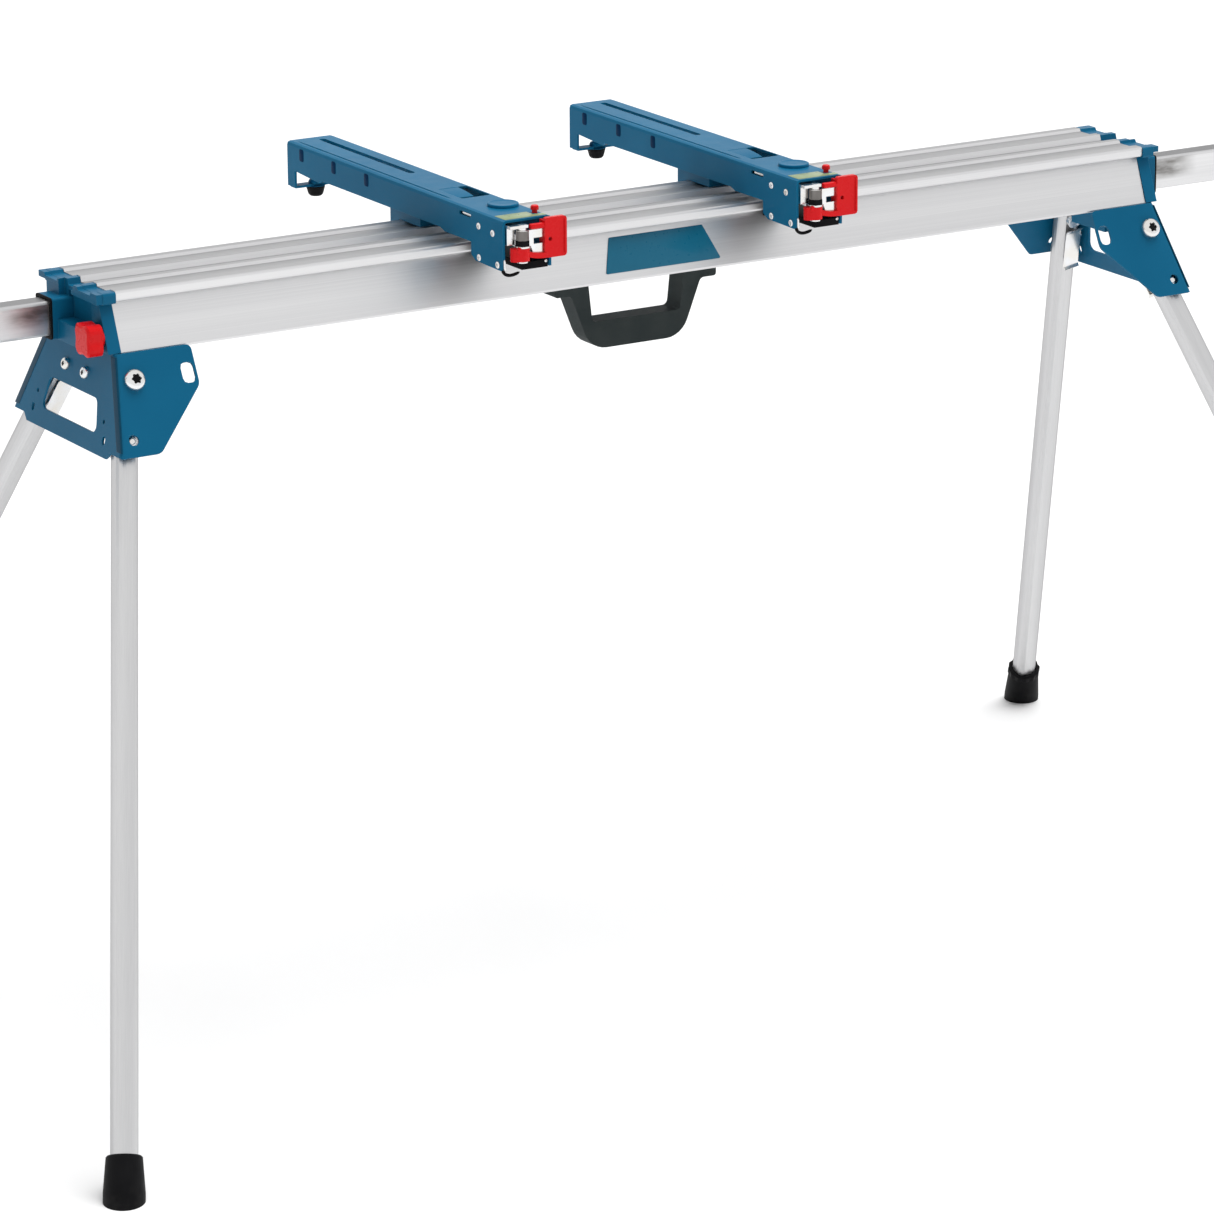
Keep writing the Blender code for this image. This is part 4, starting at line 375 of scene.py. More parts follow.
def leg_turn(end, side):
    """The turn that lays a leg's own length along X, worked out from the ends of its solid."""
    low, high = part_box(f"leg_{side}_{end}")
    reach = np.array(high - low)
    inward = 1 if end == "left" else -1
    backward = 1 if side == "front" else -1
    slant = np.array([inward * reach[0], backward * reach[1], reach[2]])
    along = Vector(slant / np.linalg.norm(slant))
    return tuple(along.rotation_difference(Vector((1, 0, 0))).to_euler())


beam_metal = drawn_aluminium("drawn_aluminium_beam", roughness=BEAM_ROUGHNESS)
bar_metal = drawn_aluminium("drawn_aluminium_bar", roughness=BAR_ROUGHNESS, rim=BAR_RIM, with_collar_reflection=True)
leg_metal = {}
for side in ("front", "rear"):
    for end in ("left", "right"):
        name = f"drawn_aluminium_{side}_{end}"
        leg_metal[f"leg_{side}_{end}"] = drawn_aluminium(
            name, leg_turn(end, side), LEG_ROUGHNESS, share=LEG_SHARE)
print("made", len(leg_metal) + 2, "aluminium finishes")

# %% [markdown]
# ## Moulded plastic and rubber
# The knobs, grips and buttons are a glossy red moulding. The handle is a dull dark grey one, and the
# collars and front jaws are a dull black one, both with a fine leather grain. The feet and bumpers are
# rubber, which is rougher still, and dusty near the floor.

# %% Moulded plastic and rubber
FLOOR_DUST_HEIGHT = 0.030
# How much paler the edges of dull plastic are: partly wear and partly a painted highlight
EDGE_WEAR_AND_HIGHLIGHT_GAIN = 1.8
RED, RED_PALE = colour(0.70, 0.008, 0.012), colour(0.78, 0.022, 0.018)
BLACK, BLACK_PALE = colour(0.006, 0.006, 0.007), colour(0.011, 0.011, 0.012)
GREY, GREY_PALE = colour(0.031, 0.039, 0.040), colour(0.042, 0.050, 0.050)


def glossy_plastic(name, shade, pale):
    """Shiny plastic with faint flow marks, paler on its edges: partly wear and partly a painted highlight.
    """
    moulding = Finish(name, roughness=0.28, Specular_IOR_Level=0.12)
    normal, edge = moulding.edges(radius=0.0008)
    flow = moulding.cloud(40, detail=3)
    body = moulding.blend(flow.between(0.3, 0.8) * 0.25, shade, pale)
    moulding.give("Base Color", moulding.blend(edge * 0.35, body, pale))
    moulding.give("Roughness", moulding.cloud(160, detail=3) * 0.16 + 0.20)
    moulding.bump(moulding.cloud(1500, detail=1), normal, distance=0.00001, strength=0.2)
    return moulding.material


def grained_plastic(name, shade, pale, roughness):
    """Dull plastic: the cells of its grain lie a tenth of a millimetre deep. Its edges are paler: partly
    wear and partly a painted highlight.
    """
    moulding = Finish(name, roughness, Specular_IOR_Level=0.03)
    normal, edge = moulding.edges(radius=0.0012)
    cells = moulding.node("TexVoronoi", {}, {"Vector": moulding.places, "Scale": 900.0})
    wear = moulding.cloud(30, detail=4)
    body = moulding.blend(wear.between(0.35, 0.7), shade, pale)
    moulding.give("Base Color", moulding.blend(edge * 0.30, body, dimmed(pale, EDGE_WEAR_AND_HIGHLIGHT_GAIN)))
    moulding.give("Roughness", wear * 0.18 + (roughness - 0.09))
    moulding.bump(cells, normal, distance=0.00010, strength=0.55)
    return moulding.material


def rubber(name):
    """Nearly black, with dust that thins out up to FLOOR_DUST_HEIGHT over the floor."""
    foot = Finish(name, roughness=0.6, Specular_IOR_Level=0.08)
    normal, _ = foot.edges(radius=0.0010)
    height = foot.node("SeparateXYZ", {}, {0: foot.places}, 2)
    dusty = foot.cloud(90, detail=5).between(0.45, 0.75) * height.between(FLOOR_DUST_HEIGHT, 0)
    shade = foot.cloud(50, detail=3)
    body = foot.blend(shade, colour(0.003, 0.003, 0.0035), colour(0.008, 0.008, 0.009))
    foot.give("Base Color", foot.blend(dusty * 0.15, body, colour(0.06, 0.057, 0.052)))
    foot.give("Roughness", foot.cloud(120, detail=3) * 0.2 + 0.46)
    foot.bump(foot.cloud(1100, detail=2), normal, distance=0.00008, strength=0.5)
    return foot.material


red_plastic = glossy_plastic("red_moulding", RED, RED_PALE)
black_plastic = grained_plastic("black_moulding", BLACK, BLACK_PALE, 0.45)
grey_plastic = grained_plastic("dark_grey_moulding", GREY, GREY_PALE, 0.5)
black_rubber = rubber("black_rubber")
print("made four mouldings")

# %% [markdown]
# ## Plated and dark steel
# The bolts, pins, pull plates and cams are zinc plated: a bright metal with a faint yellow and blue cast
# and fine polishing lines. The sleeve on a lever's pin is a darker, brownish steel.

# %% Plated and dark steel
def plated_steel():
    """Zinc on steel, with lines that are fine along Z. Its edges are paler: partly wear and partly a painted
    highlight.
    """
    zinc = Finish("plated_steel", roughness=0.24, metallic=1.0)
    normal, edge = zinc.edges(radius=0.0006)
    cast = zinc.cloud(55, detail=3)
    lines = zinc.cloud(1, detail=2, places=zinc.stretched((40, 40, 1600)))
    body = zinc.blend(cast.between(0.35, 0.65), colour(0.74, 0.72, 0.68), colour(0.78, 0.79, 0.81))
    zinc.give("Base Color", zinc.blend(edge * 0.4, body, colour(0.92, 0.92, 0.92)))
    zinc.give("Roughness", lines * 0.14 + 0.14)
    zinc.bump(lines, normal, distance=0.00003, strength=0.4)
    return zinc.material


def dark_steel():
    """Dark brownish steel, lighter where the cloud is thick, with paler edges: partly wear and partly a
    painted highlight.
    """
    sleeve_metal = Finish("dark_steel", roughness=0.34, metallic=1.0)
    normal, edge = sleeve_metal.edges(radius=0.0005)
    body = sleeve_metal.blend(sleeve_metal.cloud(90, detail=3), colour(0.11, 0.10, 0.095), colour(0.21, 0.20, 0.19))
    sleeve_metal.give("Base Color", sleeve_metal.blend(edge * 0.4, body, colour(0.45, 0.44, 0.42)))
    sleeve_metal.give("Roughness", sleeve_metal.cloud(140, detail=2) * 0.16 + 0.26)
    sleeve_metal.bump(sleeve_metal.cloud(1200, detail=1), normal, distance=0.00002, strength=0.3)
    return sleeve_metal.material


steel = plated_steel()
black_steel = dark_steel()
print("made", steel.name, "and", black_steel.name)

# %% [markdown]
# ## Films
# The plate on the beam and the stickers are flat films without print. The thin plates over the side slots
# of the arms are deep blue and nearly without gloss, so that they read as shade.

# %% Films
NO_GLOSS = 0.01


def flat_film(name, shade, pale, gloss=0.25):
    """A plastic film: flat and even, a little mottled, with a smooth gloss."""
    film = Finish(name, roughness=0.30, Specular_IOR_Level=gloss)
    film.give("Base Color", film.blend(film.cloud(120, detail=3) * 0.6, shade, pale))
    film.give("Roughness", film.cloud(200, detail=2) * 0.1 + 0.24)
    return film.material


plate_film = flat_film("blue_film", colour(0.006, 0.115, 0.200), colour(0.010, 0.135, 0.225))
slot_shade = flat_film("slot_shade", colour(0.002, 0.026, 0.075), colour(0.004, 0.036, 0.100), NO_GLOSS)
warning_film = flat_film("yellow_green_film", colour(0.20, 0.27, 0.12), colour(0.40, 0.47, 0.29))
print("made three films")

# %% [markdown]
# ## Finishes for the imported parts
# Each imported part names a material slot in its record, so the finish follows from that name. The legs, the
# bars and the arms have their own.

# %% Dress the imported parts
FINISH_OF_SLOT = {
    "satin_aluminium": beam_metal,
    "blue_powder_coat": blue_paint,
    "red_plastic": red_plastic,
    "black_plastic": black_plastic,
    "dark_grey_plastic": grey_plastic,
    "black_rubber": black_rubber,
    "plated_steel": steel,
}

for entry in frame["record"]["subparts"]:
    node_name = entry["node"]
    finish = leg_metal.get(node_name, FINISH_OF_SLOT[entry["material_slot"]])
    if node_name.startswith("extension_bar"):
        finish = bar_metal
    if node_name.startswith("arm_channel"):
        finish = arm_paint
    for material_slot in frame["nodes"][node_name].material_slots:
        material_slot.material = finish

# %% [markdown]
# ## Surfaces from numbers
# The added pieces are grids of points: ring after ring of places, each ring worked out as one array. A skin
# joins each ring to the next and closes both ends, so every piece is a closed solid. A piece that lies on a
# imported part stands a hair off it, so that their faces don't fall together.

# %% Helpers for surfaces
HAIR = 0.0001
SMOOTH_ANGLE = math.radians(40)


def placing(origin, x, y):
    """A 4 by 4 matrix that lays a drawing's x and y along two directions at a point. z is x cross y."""
    x = np.array(x, float) / np.linalg.norm(x)
    z = np.cross(x, np.array(y, float))
    z = z / np.linalg.norm(z)
    matrix = np.eye(4)
    matrix[:3, 0], matrix[:3, 1], matrix[:3, 2], matrix[:3, 3] = x, np.cross(z, x), z, origin
    return matrix


def carried(matrix, points):
    """Each point is turned by the matrix and moved to its place."""
    return points @ matrix[:3, :3].T + matrix[:3, 3]


def skin(rings):
    """Points and faces of a stack of rings (row, column, xyz), closed with one face at each end."""
    rows, columns = rings.shape[:2]
    row, column = np.meshgrid(np.arange(rows - 1), np.arange(columns), indexing="ij")
    beside = (column + 1) % columns
    quads = np.stack([row * columns + column, row * columns + beside,
                      (row + 1) * columns + beside, (row + 1) * columns + column], axis=-1)
    faces = quads.reshape(-1, 4).tolist()
    faces.append(list(range(columns))[::-1])
    faces.append(list(range((rows - 1) * columns, rows * columns)))
    return rings.reshape(-1, 3), faces


def turned(profile, matrix, steps=32):
    """A surface of revolution: (r cos t, r sin t, h) for each (r, h) of the profile and each angle t."""
    radius, height = np.array(profile, float).T[:, :, None]
    angle = np.linspace(0, math.tau, steps, endpoint=False)[None, :]
    rings = np.stack([radius * np.cos(angle), radius * np.sin(angle), height + 0 * angle], axis=-1)
    return skin(carried(matrix, rings))


def joined(shells):
    """Several closed shells as one mesh: each one's faces count on from the points before it."""
    points = np.concatenate([shell[0] for shell in shells])
    starts = np.cumsum([0] + [len(shell[0]) for shell in shells[:-1]])
    faces = [[int(start) + i for i in face] for start, shell in zip(starts, shells) for face in shell[1]]
    return points, faces


def add_piece(name, shell, finish, body, smooth_angle=SMOOTH_ANGLE):
    """Puts a shell into the scene as a piece that rides on a body. Where two faces meet at more than the
    smooth angle, the edge stays sharp."""
    mesh = bpy.data.meshes.new(name)
    mesh.from_pydata(shell[0].tolist(), [], shell[1])
    mesh.shade_smooth()
    mesh.set_sharp_from_angle(angle=smooth_angle)
    mesh.materials.append(finish)
    piece = bpy.data.objects.new(name, mesh)
    bpy.context.scene.collection.objects.link(piece)
    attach(piece, body)


unit_drum = turned([(1, 0), (1, 1)], np.eye(4))
print("a plain drum has", len(unit_drum[0]), "points and", len(unit_drum[1]), "faces")


# %% [markdown]
# ## Outlines with round corners
# A plate's outline is its corners, each replaced by an arc. Moving the outline in by some distance keeps
# the middle of each arc and shortens its radius, which gives the plate a rounded edge.

# %% Plates
def outline_of(corner_points, radius, inset=0.0, steps=5):
    """Corners with arcs: the middle of an arc lies radius * (n + m) / (1 + n . m) in from its corner,
    where n and m are the outward directions of the two sides.
    The points are middle + (radius - inset) * (cos, sin)."""
    points = np.array(corner_points, float)
    sides = np.roll(points, -1, axis=0) - points
    out = np.stack([sides[:, 1], -sides[:, 0]], axis=-1) / np.linalg.norm(sides, axis=1, keepdims=True)
    before = np.roll(out, 1, axis=0)
    share = radius / (1 + (out * before).sum(axis=1, keepdims=True))
    middle = points - (out + before) * share
    start = np.arctan2(before[:, 1], before[:, 0])
    turn = (np.arctan2(out[:, 1], out[:, 0]) - start) % math.tau
    angle = start[:, None] + turn[:, None] * np.linspace(0, 1, steps)[None, :]
    spokes = np.stack([np.cos(angle), np.sin(angle)], axis=-1)
    return (middle[:, None, :] + spokes * (radius - inset)).reshape(-1, 2)


def ring_at(height, outline):
    """A flat outline as points in space, all at one height."""
    return np.column_stack([outline, np.full(len(outline), height)])


def plate(corner_points, matrix, radius, thickness, edge):
    """A flat plate on the plane of the matrix: straight sides, then an edge that leans in."""
    levels = [(0, 0), (thickness - edge, 0), (thickness - edge * 0.3, edge * 0.3), (thickness, edge)]
    rings = [ring_at(height, outline_of(corner_points, radius, inset)) for height, inset in levels]
    return skin(carried(matrix, np.stack(rings)))


def rectangle(left, right, foot, top):
    """The corners of a rectangle, counter-clockwise from its lower left one."""
    return [(left, foot), (right, foot), (right, top), (left, top)]


unit_plate = plate(rectangle(0, 1, 0, 1), np.eye(4), radius=0.1, thickness=0.1, edge=0.02)
print("a plate has", len(unit_plate[0]), "points and", len(unit_plate[1]), "faces")


# %% [markdown]
# ## The name plate on the beam
# A thin blue plate is stuck to the sloping front of the beam. It stays bare.

# %% Name plate
LIP_HEIGHT, WEB_INSET, WEB_HEIGHT = 0.011, 0.019, 0.049
PLATE_TOP, PLATE_FOOT = 0.7715, 0.7367
PLATE_TOP_SPAN, PLATE_FOOT_SPAN = (-0.052, 0.061), (-0.063, 0.076)
PLATE_LIFT = 0.0002
_, beam_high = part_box("beam_profile")
lip_foot = beam_high.z - LIP_HEIGHT
web_top = beam_high.y - WEB_INSET
web_slope = WEB_INSET / WEB_HEIGHT


def on_web(x, z, out=0.0):
    """A place on the front web of the beam: it leans out towards the foot."""
    return np.array([x, -(web_top + (lip_foot - z) * web_slope) - out, z])


web_up = on_web(0, PLATE_TOP) - on_web(0, PLATE_FOOT)
web = placing(on_web(0, PLATE_FOOT, PLATE_LIFT), (1, 0, 0), web_up)
plate_height = float(np.linalg.norm(web_up))
plate_corners = [(x, 0) for x in PLATE_FOOT_SPAN] + [(x, plate_height) for x in PLATE_TOP_SPAN[::-1]]
name_plate = plate(plate_corners, web, radius=0.0015, thickness=0.0009, edge=0.0004)
add_piece("name_plate", name_plate, plate_film, "beam")
print("plate is", round(plate_height * 1000, 1), "mm tall")

# %% [markdown]
# ## Screws
# Each arm's nose is screwed together from the sides. A screw head is a low dome with a six-lobed socket:
# the rings of the socket swell and shrink six times on their way round.

# %% Screws
SCREW_RADIUS = 0.0036
SCREW_HEIGHT = 0.0016
SOCKET_LOBES, LOBE_DEPTH = 6, 0.16


def screw_head(matrix, radius=SCREW_RADIUS, height=SCREW_HEIGHT, floor=0.25, steps=36):
    """Rings at (share of the radius, share of the height, depth of the lobes), the last one at the floor of
    the socket: r(t) = radius * share * (1 + lobe * cos 6t)."""
    share, level, lobe = np.array([
        (1.00, 0.00, 0.0), (1.00, 0.30, 0.0), (0.93, 0.62, 0.0), (0.78, 0.88, 0.0), (0.58, 1.00, 0.0),
        (0.44, 1.00, LOBE_DEPTH), (0.42, 0.96, LOBE_DEPTH), (0.40, floor, LOBE_DEPTH),
    ]).T[:, :, None]
    angle = np.linspace(0, math.tau, steps, endpoint=False)[None, :]
    reach = radius * share * (1 + lobe * np.cos(SOCKET_LOBES * angle))
    rings = np.stack([reach * np.cos(angle), reach * np.sin(angle), height * level + 0 * angle], axis=-1)
    return skin(carried(matrix, rings))


# Places on the side of an arm: back from its front end, and down from its top
SIDE_SCREWS = [(0.0475, 0.014), (0.0195, 0.016), (0.0473, 0.0463), (0.0102, 0.0466)]
ARMS = ("left", "right")


def side_screws(arm):
    """A screw at each of the SIDE_SCREWS in both side walls of an arm."""
    low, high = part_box(f"arm_channel_{arm}")
    shells = []
    for back, down in SIDE_SCREWS:
        y, z = low.y + back, high.z - down
        shells.append(screw_head(placing((low.x - HAIR, y, z), (0, -1, 0), (0, 0, 1))))
        shells.append(screw_head(placing((high.x + HAIR, y, z), (0, 1, 0), (0, 0, 1))))
    return joined(shells)


for arm in ARMS:
    add_piece(f"nose_screws_{arm}", side_screws(arm), steel, f"arm_{arm}")
print("screws on an arm:", 2 * len(SIDE_SCREWS))

# %% [markdown]
# ## Screws of the support heads
# A support head is clamped on its bar by two screws from the front and two from the back. They are the same
# screws, only larger.

# %% Screws of the support heads
HEAD_SCREWS_OUTWARD = (0.012, 0.031)
HEAD_SCREW = {"radius": 0.0042, "height": 0.0018}


def head_screws(end):
    """Two screws through each side of a support head, in line with the middle of its bar."""
    low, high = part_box(f"support_head_{end}")
    bar_low, bar_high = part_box(f"extension_bar_{end}")
    inner, outward = (high.x, -1) if end == "left" else (low.x, 1)
    z = (bar_low.z + bar_high.z) / 2
    shells = []
    for reach in HEAD_SCREWS_OUTWARD:
        x = inner + outward * reach
        shells.append(screw_head(placing((x, low.y - HAIR, z), (1, 0, 0), (0, 0, 1)), **HEAD_SCREW))
        shells.append(screw_head(placing((x, high.y + HAIR, z), (-1, 0, 0), (0, 0, 1)), **HEAD_SCREW))
    return joined(shells)


for end in ("left", "right"):
    add_piece(f"head_screws_{end}", head_screws(end), steel, f"bar_{end}")
print("screws on a support head:", 2 * len(HEAD_SCREWS_OUTWARD))

# %% [markdown]
# ## Bolts of the leg brackets
# Two pan heads hold each end plate to its block, and a button head closes each leg pivot. They sit over the
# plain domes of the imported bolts. A socket looks dark because little light reaches its floor, and these
# sockets are shallow, so a dark disc lies in each.

# %% Bolts of the leg brackets
BRACKET_TOP = 0.730
END_PLATE_X = beam_high.x + 0.008
END_PLATE_SLOPE = 0.21
FLANGE_TOP_Y = 0.075
FLANGE_SLOPE = math.tan(math.radians(27))
SOCKET_SHARE = 0.47
SOCKET_FLOOR_UNDER, SOCKET_FLOOR_OVER = 0.0003, 0.0002
PAN = {"radius": 0.0064, "height": 0.0050, "floor": 0.90, "apart": 0.0215, "drop": 0.029}
BUTTON = {"radius": 0.0113, "height": 0.0075, "floor": 0.84, "x": beam_high.x - 0.0055, "drop": 0.02525}
ENDS = (-1, 1)
SIDES = (-1, 1)


def bracket_corner(end, side, drop):
    """Where the end plate and a flange meet: both lean out further with every step down."""
    x = end * (END_PLATE_X + drop * END_PLATE_SLOPE)
    y = side * (FLANGE_TOP_Y + drop * FLANGE_SLOPE)
    return np.array([x, y, BRACKET_TOP - drop])


def pan_place(end, y):
    """The plane of a pan head on the leaning end plate."""
    corner = bracket_corner(end, 1, PAN["drop"])
    return placing((corner[0], y, corner[2]), (0, end, 0), (-end * END_PLATE_SLOPE, 0, 1))


def button_place(end, side):
    """The plane of a button head on a sloping flange."""
    corner = bracket_corner(end, side, BUTTON["drop"])
    origin = (end * BUTTON["x"], corner[1], corner[2])
    return placing(origin, (-side, 0, 0), (0, -side * FLANGE_SLOPE, 1))


def bolt_head(place, kind):
    """The head, and the disc on the floor of its socket."""
    head = screw_head(place, kind["radius"], kind["height"], kind["floor"])
    level = kind["height"] * kind["floor"]
    reach = kind["radius"] * SOCKET_SHARE
    disc = [(reach, level - SOCKET_FLOOR_UNDER), (reach, level), (reach * 0.2, level + SOCKET_FLOOR_OVER)]
    return head, turned(disc, place, steps=24)


pans, buttons = [], []
for end in ENDS:
    for side in SIDES:
        pans.append(bolt_head(pan_place(end, side * PAN["apart"]), PAN))
        buttons.append(bolt_head(button_place(end, side), BUTTON))
add_piece("bracket_bolt_heads", joined([head for head, _ in pans]), steel, "beam")
add_piece("pivot_bolt_heads", joined([head for head, _ in buttons]), steel, "beam")
sockets = joined([floor for _, floor in pans + buttons])
add_piece("bolt_sockets", sockets, black_plastic, "beam")
print("bolt heads:", len(pans) + len(buttons))

# %% [markdown]
# ## Bends of the leg brackets
# The sheet is bent where the end plate meets a flange. A thin strip of darker coat lies round the corner as
# painted shade along that bend.

# %% Bends of the leg brackets
BEND = np.array([
    (-0.0017, -0.0001), (-0.0015, 0.0003), (-0.0006, 0.0003), (0.0001, 0.0001),
    (0.0003, -0.0010), (0.0003, -0.0098), (-0.0001, -0.0100), (-0.0003, -0.0003),
])
BEND_DROPS = np.linspace(0.003, 0.088, 12)
BEND_SHADE_SHARE = 0.42


def bend_shade_strip(end, side):
    """A section of (along the flange, along the end plate) carried down the corner."""
    corner = np.stack([bracket_corner(end, side, drop) for drop in BEND_DROPS])
    section = np.column_stack([end * BEND[:, 0], side * BEND[:, 1], 0 * BEND[:, 0]])
    rings = corner[:, None, :] + section[None]
    return skin(rings if end * side > 0 else rings[:, ::-1])


# Painted shade: the blue coat darkened to a share, on a strip round each bend.
bend_shade_paint = powder_coat("blue_bend_painted_shade", BEND_SHADE_SHARE)
bend_shades = [bend_shade_strip(end, side) for end in ENDS for side in SIDES]
add_piece("bracket_bend_shade", joined(bend_shades), bend_shade_paint, "beam")
print("bend strips:", len(bend_shades))

# %% [markdown]
# ## Discs, beads and stickers on the arms
# A low cap covers a pivot in the top of each arm, and a bead pressed along one side stiffens the sheet. A
# bare yellow-green sticker lies by the front edge and leaves room for the button.

# %% Discs, beads and stickers
DISC_RADIUS = 0.0160
DISC_HEIGHT = 0.0030
DISC_FROM_LEFT = 0.0365
DISC_BACK = 0.0620
BEAD_FROM_LEFT = 0.0085
BEAD_HALF_WIDTH = 0.0012
BEAD_HEIGHT = 0.0007
BEAD_LIFT = 0.00003
BEAD_BACK, BEAD_SHORTER = 0.118, 0.126
BEAD_STEPS, BEAD_SIDES, BEAD_LEAST = 40, 16, 0.0004
STICKER_LEFT, STICKER_STEP, STICKER_RIGHT = 0.0045, 0.0415, 0.0530
STICKER_FRONT, STICKER_SHORT, STICKER_BACK = 0.0030, 0.0112, 0.0240
STICKER_GAP = 0.00004
FILM_LIFT = 0.00005


def top_disc(arm):
    """A disc with a round shoulder and a shallow dish: pairs of a share of its radius and of its height."""
    low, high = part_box(f"arm_channel_{arm}")
    shoulder = [(1.0, 0.0), (1.0, 0.72), (0.985, 0.90), (0.95, 1.0)]
    dish = [(0.86, 1.0), (0.82, 0.93), (0.3, 0.95), (0.02, 1.0)]
    profile = [(share * DISC_RADIUS, height * DISC_HEIGHT) for share, height in shoulder + dish]
    matrix = placing((low.x + DISC_FROM_LEFT, low.y + DISC_BACK, high.z + HAIR), (1, 0, 0), (0, 1, 0))
    return turned(profile, matrix, steps=48)


def bead(arm):
    """A half round rib along Y: x goes with cos and z with (sin + 1) / 2 of the angle across. At the
    place t both are times the root of 1 - (2t - 1)^12, so its ends run out smoothly."""
    low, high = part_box(f"arm_channel_{arm}")
    along = np.linspace(0, 1, BEAD_STEPS)[:, None]
    across = np.linspace(0, math.tau, BEAD_SIDES, endpoint=False)[None, :]
    swell = np.sqrt(np.clip(1 - (2 * along - 1) ** 12, BEAD_LEAST, 1))
    x = low.x + BEAD_FROM_LEFT + BEAD_HALF_WIDTH * swell * np.cos(across)
    y = low.y + BEAD_BACK + along * (high.y - low.y - BEAD_SHORTER) + 0 * across
    z = high.z + BEAD_HEIGHT * swell * (np.sin(across) * 0.5 + 0.5) + BEAD_LIFT
    return skin(np.stack([x, y, z], axis=-1)[::-1])


def sticker(arm):
    """A wide part and, in front of the button, a narrow one: two films side by side."""
    low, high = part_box(f"arm_channel_{arm}")
    matrix = placing((low.x, low.y, high.z + FILM_LIFT), (1, 0, 0), (0, 1, 0))
    wide = rectangle(STICKER_LEFT, STICKER_STEP, STICKER_FRONT, STICKER_BACK)
    narrow = rectangle(STICKER_STEP + STICKER_GAP, STICKER_RIGHT, STICKER_FRONT, STICKER_SHORT)
    film = {"radius": 0.0008, "thickness": 0.00025, "edge": 0.0001}
    return joined([plate(corners, matrix, **film) for corners in (wide, narrow)])


print("a disc is", round(2 * DISC_RADIUS * 1000), "mm wide")

# %% [markdown]
# ## Side slots, bumpers and windows of the arms
# The slots in the sides of an arm look like dark rectangles, so a thin plate of painted shade lies over
# each. A bumper hangs under the tail on a strap, with a thin washer below the strap and a low cap on it. A
# tongue of the arm's own sheet curves down into the window behind the disc.

# %% Side slots, bumpers and windows
SLOT_BACKS = (0.032, 0.103, 0.174)
SLOT_DROP, SLOT_HALF, SLOT_TALL = 0.0105, 0.0046, 0.0066
STRAP_TOP, WASHER_LIFT = 0.0029, 0.00004
CAP = [(0.0078, 0), (0.0078, 0.0014), (0.0066, 0.0034), (0.0040, 0.0046), (0.0005, 0.0050)]
WASHER = [(0.0104, 0), (0.0105, 0.0001), (0.0104, 0.0003), (0.0005, 0.0003)]
TONGUE_LEFT, TONGUE_RIGHT, TONGUE_BACK, TONGUE_FRONT = 0.0172, 0.0405, 0.1622, 0.1290
TONGUE_DROP, TONGUE_SHEET, TONGUE_LOWER = 0.0030, 0.002, 0.0002


def slot_shade_plates(arm):
    """Painted shade: a thin dark plate over each of the three slots in both side walls."""
    low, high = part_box(f"arm_channel_{arm}")
    corners = rectangle(-SLOT_HALF, SLOT_HALF, -SLOT_TALL, SLOT_TALL)
    shells = []
    for back in SLOT_BACKS:
        for x, facing in ((low.x - FILM_LIFT, -1), (high.x + FILM_LIFT, 1)):
            matrix = placing((x, high.y - back, high.z - SLOT_DROP), (0, facing, 0), (0, 0, 1))
            shells.append(plate(corners, matrix, radius=0.0025, thickness=0.0002, edge=0.0001))
    return joined(shells)


def bumper_cap(arm):
    """A low round cap on the strap above the bumper, and a thin washer under the strap."""
    low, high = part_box(f"arm_bumper_{arm}")
    x, y = (low.x + high.x) / 2, (low.y + high.y) / 2
    cap = turned(CAP, placing((x, y, high.z + STRAP_TOP), (1, 0, 0), (0, 1, 0)), steps=28)
    washer = turned(WASHER, placing((x, y, high.z + WASHER_LIFT), (1, 0, 0), (0, 1, 0)), steps=40)
    return joined([cap, washer])


def window_tongue(arm):
    """A strip whose top lies at top - drop * t * t, with t from 0 at the window's back to 1 at the tip."""
    low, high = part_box(f"arm_channel_{arm}")
    along = np.linspace(0, 1, 14)[:, None]
    left, right = low.x + TONGUE_LEFT, low.x + TONGUE_RIGHT
    x = np.array([left, left, right, right])[None, :] + 0 * along
    y = low.y + TONGUE_BACK + along * (TONGUE_FRONT - TONGUE_BACK) + np.zeros(4)
    z = high.z - TONGUE_LOWER - TONGUE_DROP * along**2 - np.array([0, 1, 1, 0]) * TONGUE_SHEET
    return skin(np.stack([x, y, z], axis=-1))


for arm in ARMS:
    body = f"arm_{arm}"
    add_piece(f"top_disc_{arm}", top_disc(arm), arm_paint, body)
    add_piece(f"top_bead_{arm}", bead(arm), arm_paint, body)
    add_piece(f"sticker_{arm}", sticker(arm), warning_film, body)
    add_piece(f"window_tongue_{arm}", window_tongue(arm), arm_paint, body)
    add_piece(f"slot_shade_plates_{arm}", slot_shade_plates(arm), slot_shade, body)
    add_piece(f"bumper_cap_{arm}", bumper_cap(arm), arm_paint, body)
print("plates over the slots of an arm:", 2 * len(SLOT_BACKS))

# %% [markdown]
# ## Shapes for the nose of an arm
# The small things in an arm's nose are short drums about the lever's pin, bent wire, and flat strips.

# %% Shapes for the nose
PIN_FROM_LEFT = 0.019
PIN_Y = -0.160
RIM_ROUND = 0.0004
RIB_LEFT, RIB_RIGHT, RIB_FOOT, RIB_TOP = 0.0264, 0.0480, 0.8204, 0.8254
RIB_BACK, RIB_THICKNESS = -0.1606, 0.0050
WIRE_STEPS, WIRE_LEAST = 16, 0.05


def drum(radius, foot, top, x, steps=32):
    """A short cylinder with rounded rims about the upright axis at x and PIN_Y. Six steps make a nut."""
    narrow, height = radius - RIM_ROUND, top - foot
    profile = [(narrow, 0), (radius, RIM_ROUND), (radius, height - RIM_ROUND), (narrow, height)]
    return turned(profile, placing((x, PIN_Y, foot), (1, 0, 0), (0, 1, 0)), steps)


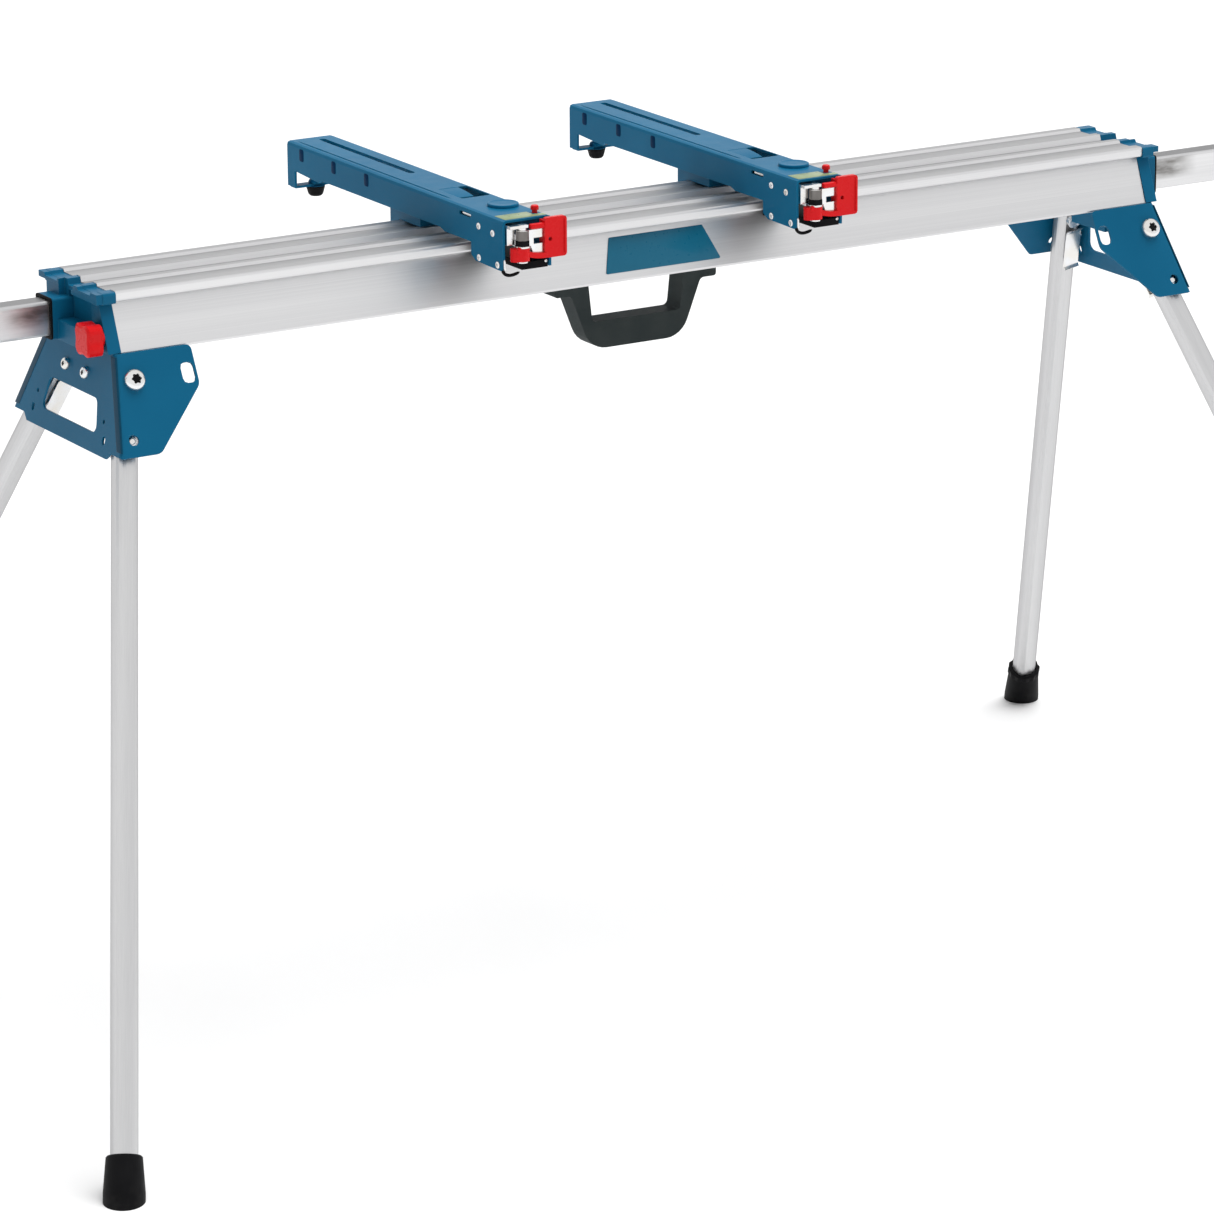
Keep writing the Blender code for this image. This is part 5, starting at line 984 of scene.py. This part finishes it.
def wire(points, radius, steps=12):
    """A tube along (1-t)^2 A + 2t(1-t) B + t^2 C. Its rings stand square to the path, which lies nearly in
    a plane across Y, so one side of each ring is Y and the other is the direction x Y. Its ends taper with
    the root of 1 - (2t - 1)^10, down to the root of WIRE_LEAST."""
    t = np.linspace(0, 1, WIRE_STEPS)[:, None]
    path = (1 - t) ** 2 * points[0] + 2 * t * (1 - t) * points[1] + t**2 * points[2]
    direction = np.gradient(path, axis=0)
    direction /= np.linalg.norm(direction, axis=1, keepdims=True)
    across = np.array([0.0, 1.0, 0.0])
    level = np.cross(direction, across)
    angle = np.linspace(0, math.tau, steps, endpoint=False)[None, :, None]
    taper = np.sqrt(np.clip(1 - (2 * t - 1) ** 10, WIRE_LEAST, 1))[:, None]
    spokes = np.cos(angle) * level[:, None] + np.sin(angle) * across
    return skin((path[:, None] + radius * taper * spokes)[:, ::-1])


def wall_strip(low, strip):
    """A flat strip that stands behind the left wall of an arm and faces left."""
    (front, back), (foot, top) = strip["y"], strip["z"]
    matrix = placing((low.x + strip["depth"], 0, 0), (0, -1, 0), (0, 0, 1))
    corners = rectangle(-back, -front, foot, top)
    return plate(corners, matrix, radius=0.0008, thickness=strip["thickness"], edge=0.0003)


def lever_rib(x):
    """A flat rib across the nose, in front of the cam. x is the left side of the arm."""
    corners = rectangle(x + RIB_LEFT, x + RIB_RIGHT, RIB_FOOT, RIB_TOP)
    matrix = placing((0, RIB_BACK, 0), (1, 0, 0), (0, 0, 1))
    return plate(corners, matrix, radius=0.0015, thickness=RIB_THICKNESS, edge=0.0010)


print("a rib is", round((RIB_RIGHT - RIB_LEFT) * 1000, 1), "mm long")

# %% [markdown]
# ## The nose of an arm
# The lever turns on a pin that carries, from the foot up, a bright collar, a black nut and a dark sleeve. A
# red rib runs from the sleeve over the cam to the grip. A black wire hook hangs on a bright shank at the
# foot of the left wall, and a steel link shows in the slot near the top, before a dark strip of painted
# shade.

# %% The nose of an arm
COLLAR_RADIUS, COLLAR_FOOT, COLLAR_HEIGHT = 0.0079, 0.8020, 0.0022
NUT_RADIUS, NUT_HEIGHT, NUT_SIDES, NUT_SMOOTH_ANGLE = 0.0082, 0.0053, 6, 0.3
SLEEVE_RADIUS, SLEEVE_TOP = 0.0068, 0.8197
HOOK_POINTS = np.array([(-0.0022, -0.1557, 0.7805), (0.0020, -0.1560, 0.7705), (0.0178, -0.1560, 0.7765)])
HOOK_RADIUS = 0.0017
SHANK_POINTS = np.array([(0.0012, -0.1551, 0.7905), (0.0012, -0.1552, 0.7850), (0.0012, -0.1556, 0.7785)])
SHANK_RADIUS = 0.0011
# Painted shade: a dark strip behind the slot in the left wall
SLOT_SHADE_STRIP = {"depth": 0.0040, "thickness": 0.0013, "y": (-0.0960, -0.0600), "z": (0.8190, 0.8272)}
LINK = {"depth": 0.0026, "thickness": 0.0016, "y": (-0.0885, -0.0715), "z": (0.8220, 0.8244)}
JAW_SCREW_X, JAW_SCREW_Y, JAW_SCREW_Z = 0.0476, -0.1571, 0.7845
JAW_SCREW = {"radius": 0.0016, "height": 0.0007}
nut_foot = COLLAR_FOOT + COLLAR_HEIGHT
nut_top = nut_foot + NUT_HEIGHT

for arm in ARMS:
    low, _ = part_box(f"arm_channel_{arm}")
    pin_x = low.x + PIN_FROM_LEFT
    shift = np.array([low.x, 0, 0])
    lever, body = f"lever_{arm}", f"arm_{arm}"
    collar = drum(COLLAR_RADIUS, COLLAR_FOOT, nut_foot, pin_x)
    nut = drum(NUT_RADIUS, nut_foot, nut_top, pin_x, NUT_SIDES)
    sleeve = drum(SLEEVE_RADIUS, nut_top, SLEEVE_TOP, pin_x)
    hook, shank = wire(HOOK_POINTS + shift, HOOK_RADIUS), wire(SHANK_POINTS + shift, SHANK_RADIUS)
    jaw_plane = placing((low.x + JAW_SCREW_X, JAW_SCREW_Y, JAW_SCREW_Z), (1, 0, 0), (0, 0, 1))
    add_piece(f"lever_collar_{arm}", collar, steel, lever)
    add_piece(f"lever_nut_{arm}", nut, black_plastic, lever, NUT_SMOOTH_ANGLE)
    add_piece(f"lever_sleeve_{arm}", sleeve, black_steel, lever)
    add_piece(f"lever_rib_{arm}", lever_rib(low.x), red_plastic, lever)
    add_piece(f"wire_hook_{arm}", hook, black_plastic, body)
    add_piece(f"hook_shank_{arm}", shank, steel, body)
    # The dark strip behind the slot is painted shade inside the arm.
    add_piece(f"slot_shade_strip_{arm}", wall_strip(low, SLOT_SHADE_STRIP), black_plastic, body)
    add_piece(f"slot_link_{arm}", wall_strip(low, LINK), steel, body)
    add_piece(f"jaw_screw_{arm}", screw_head(jaw_plane, **JAW_SCREW), steel, f"jaw_{arm}")
print("a nut is", round(NUT_HEIGHT * 1000, 1), "mm tall")
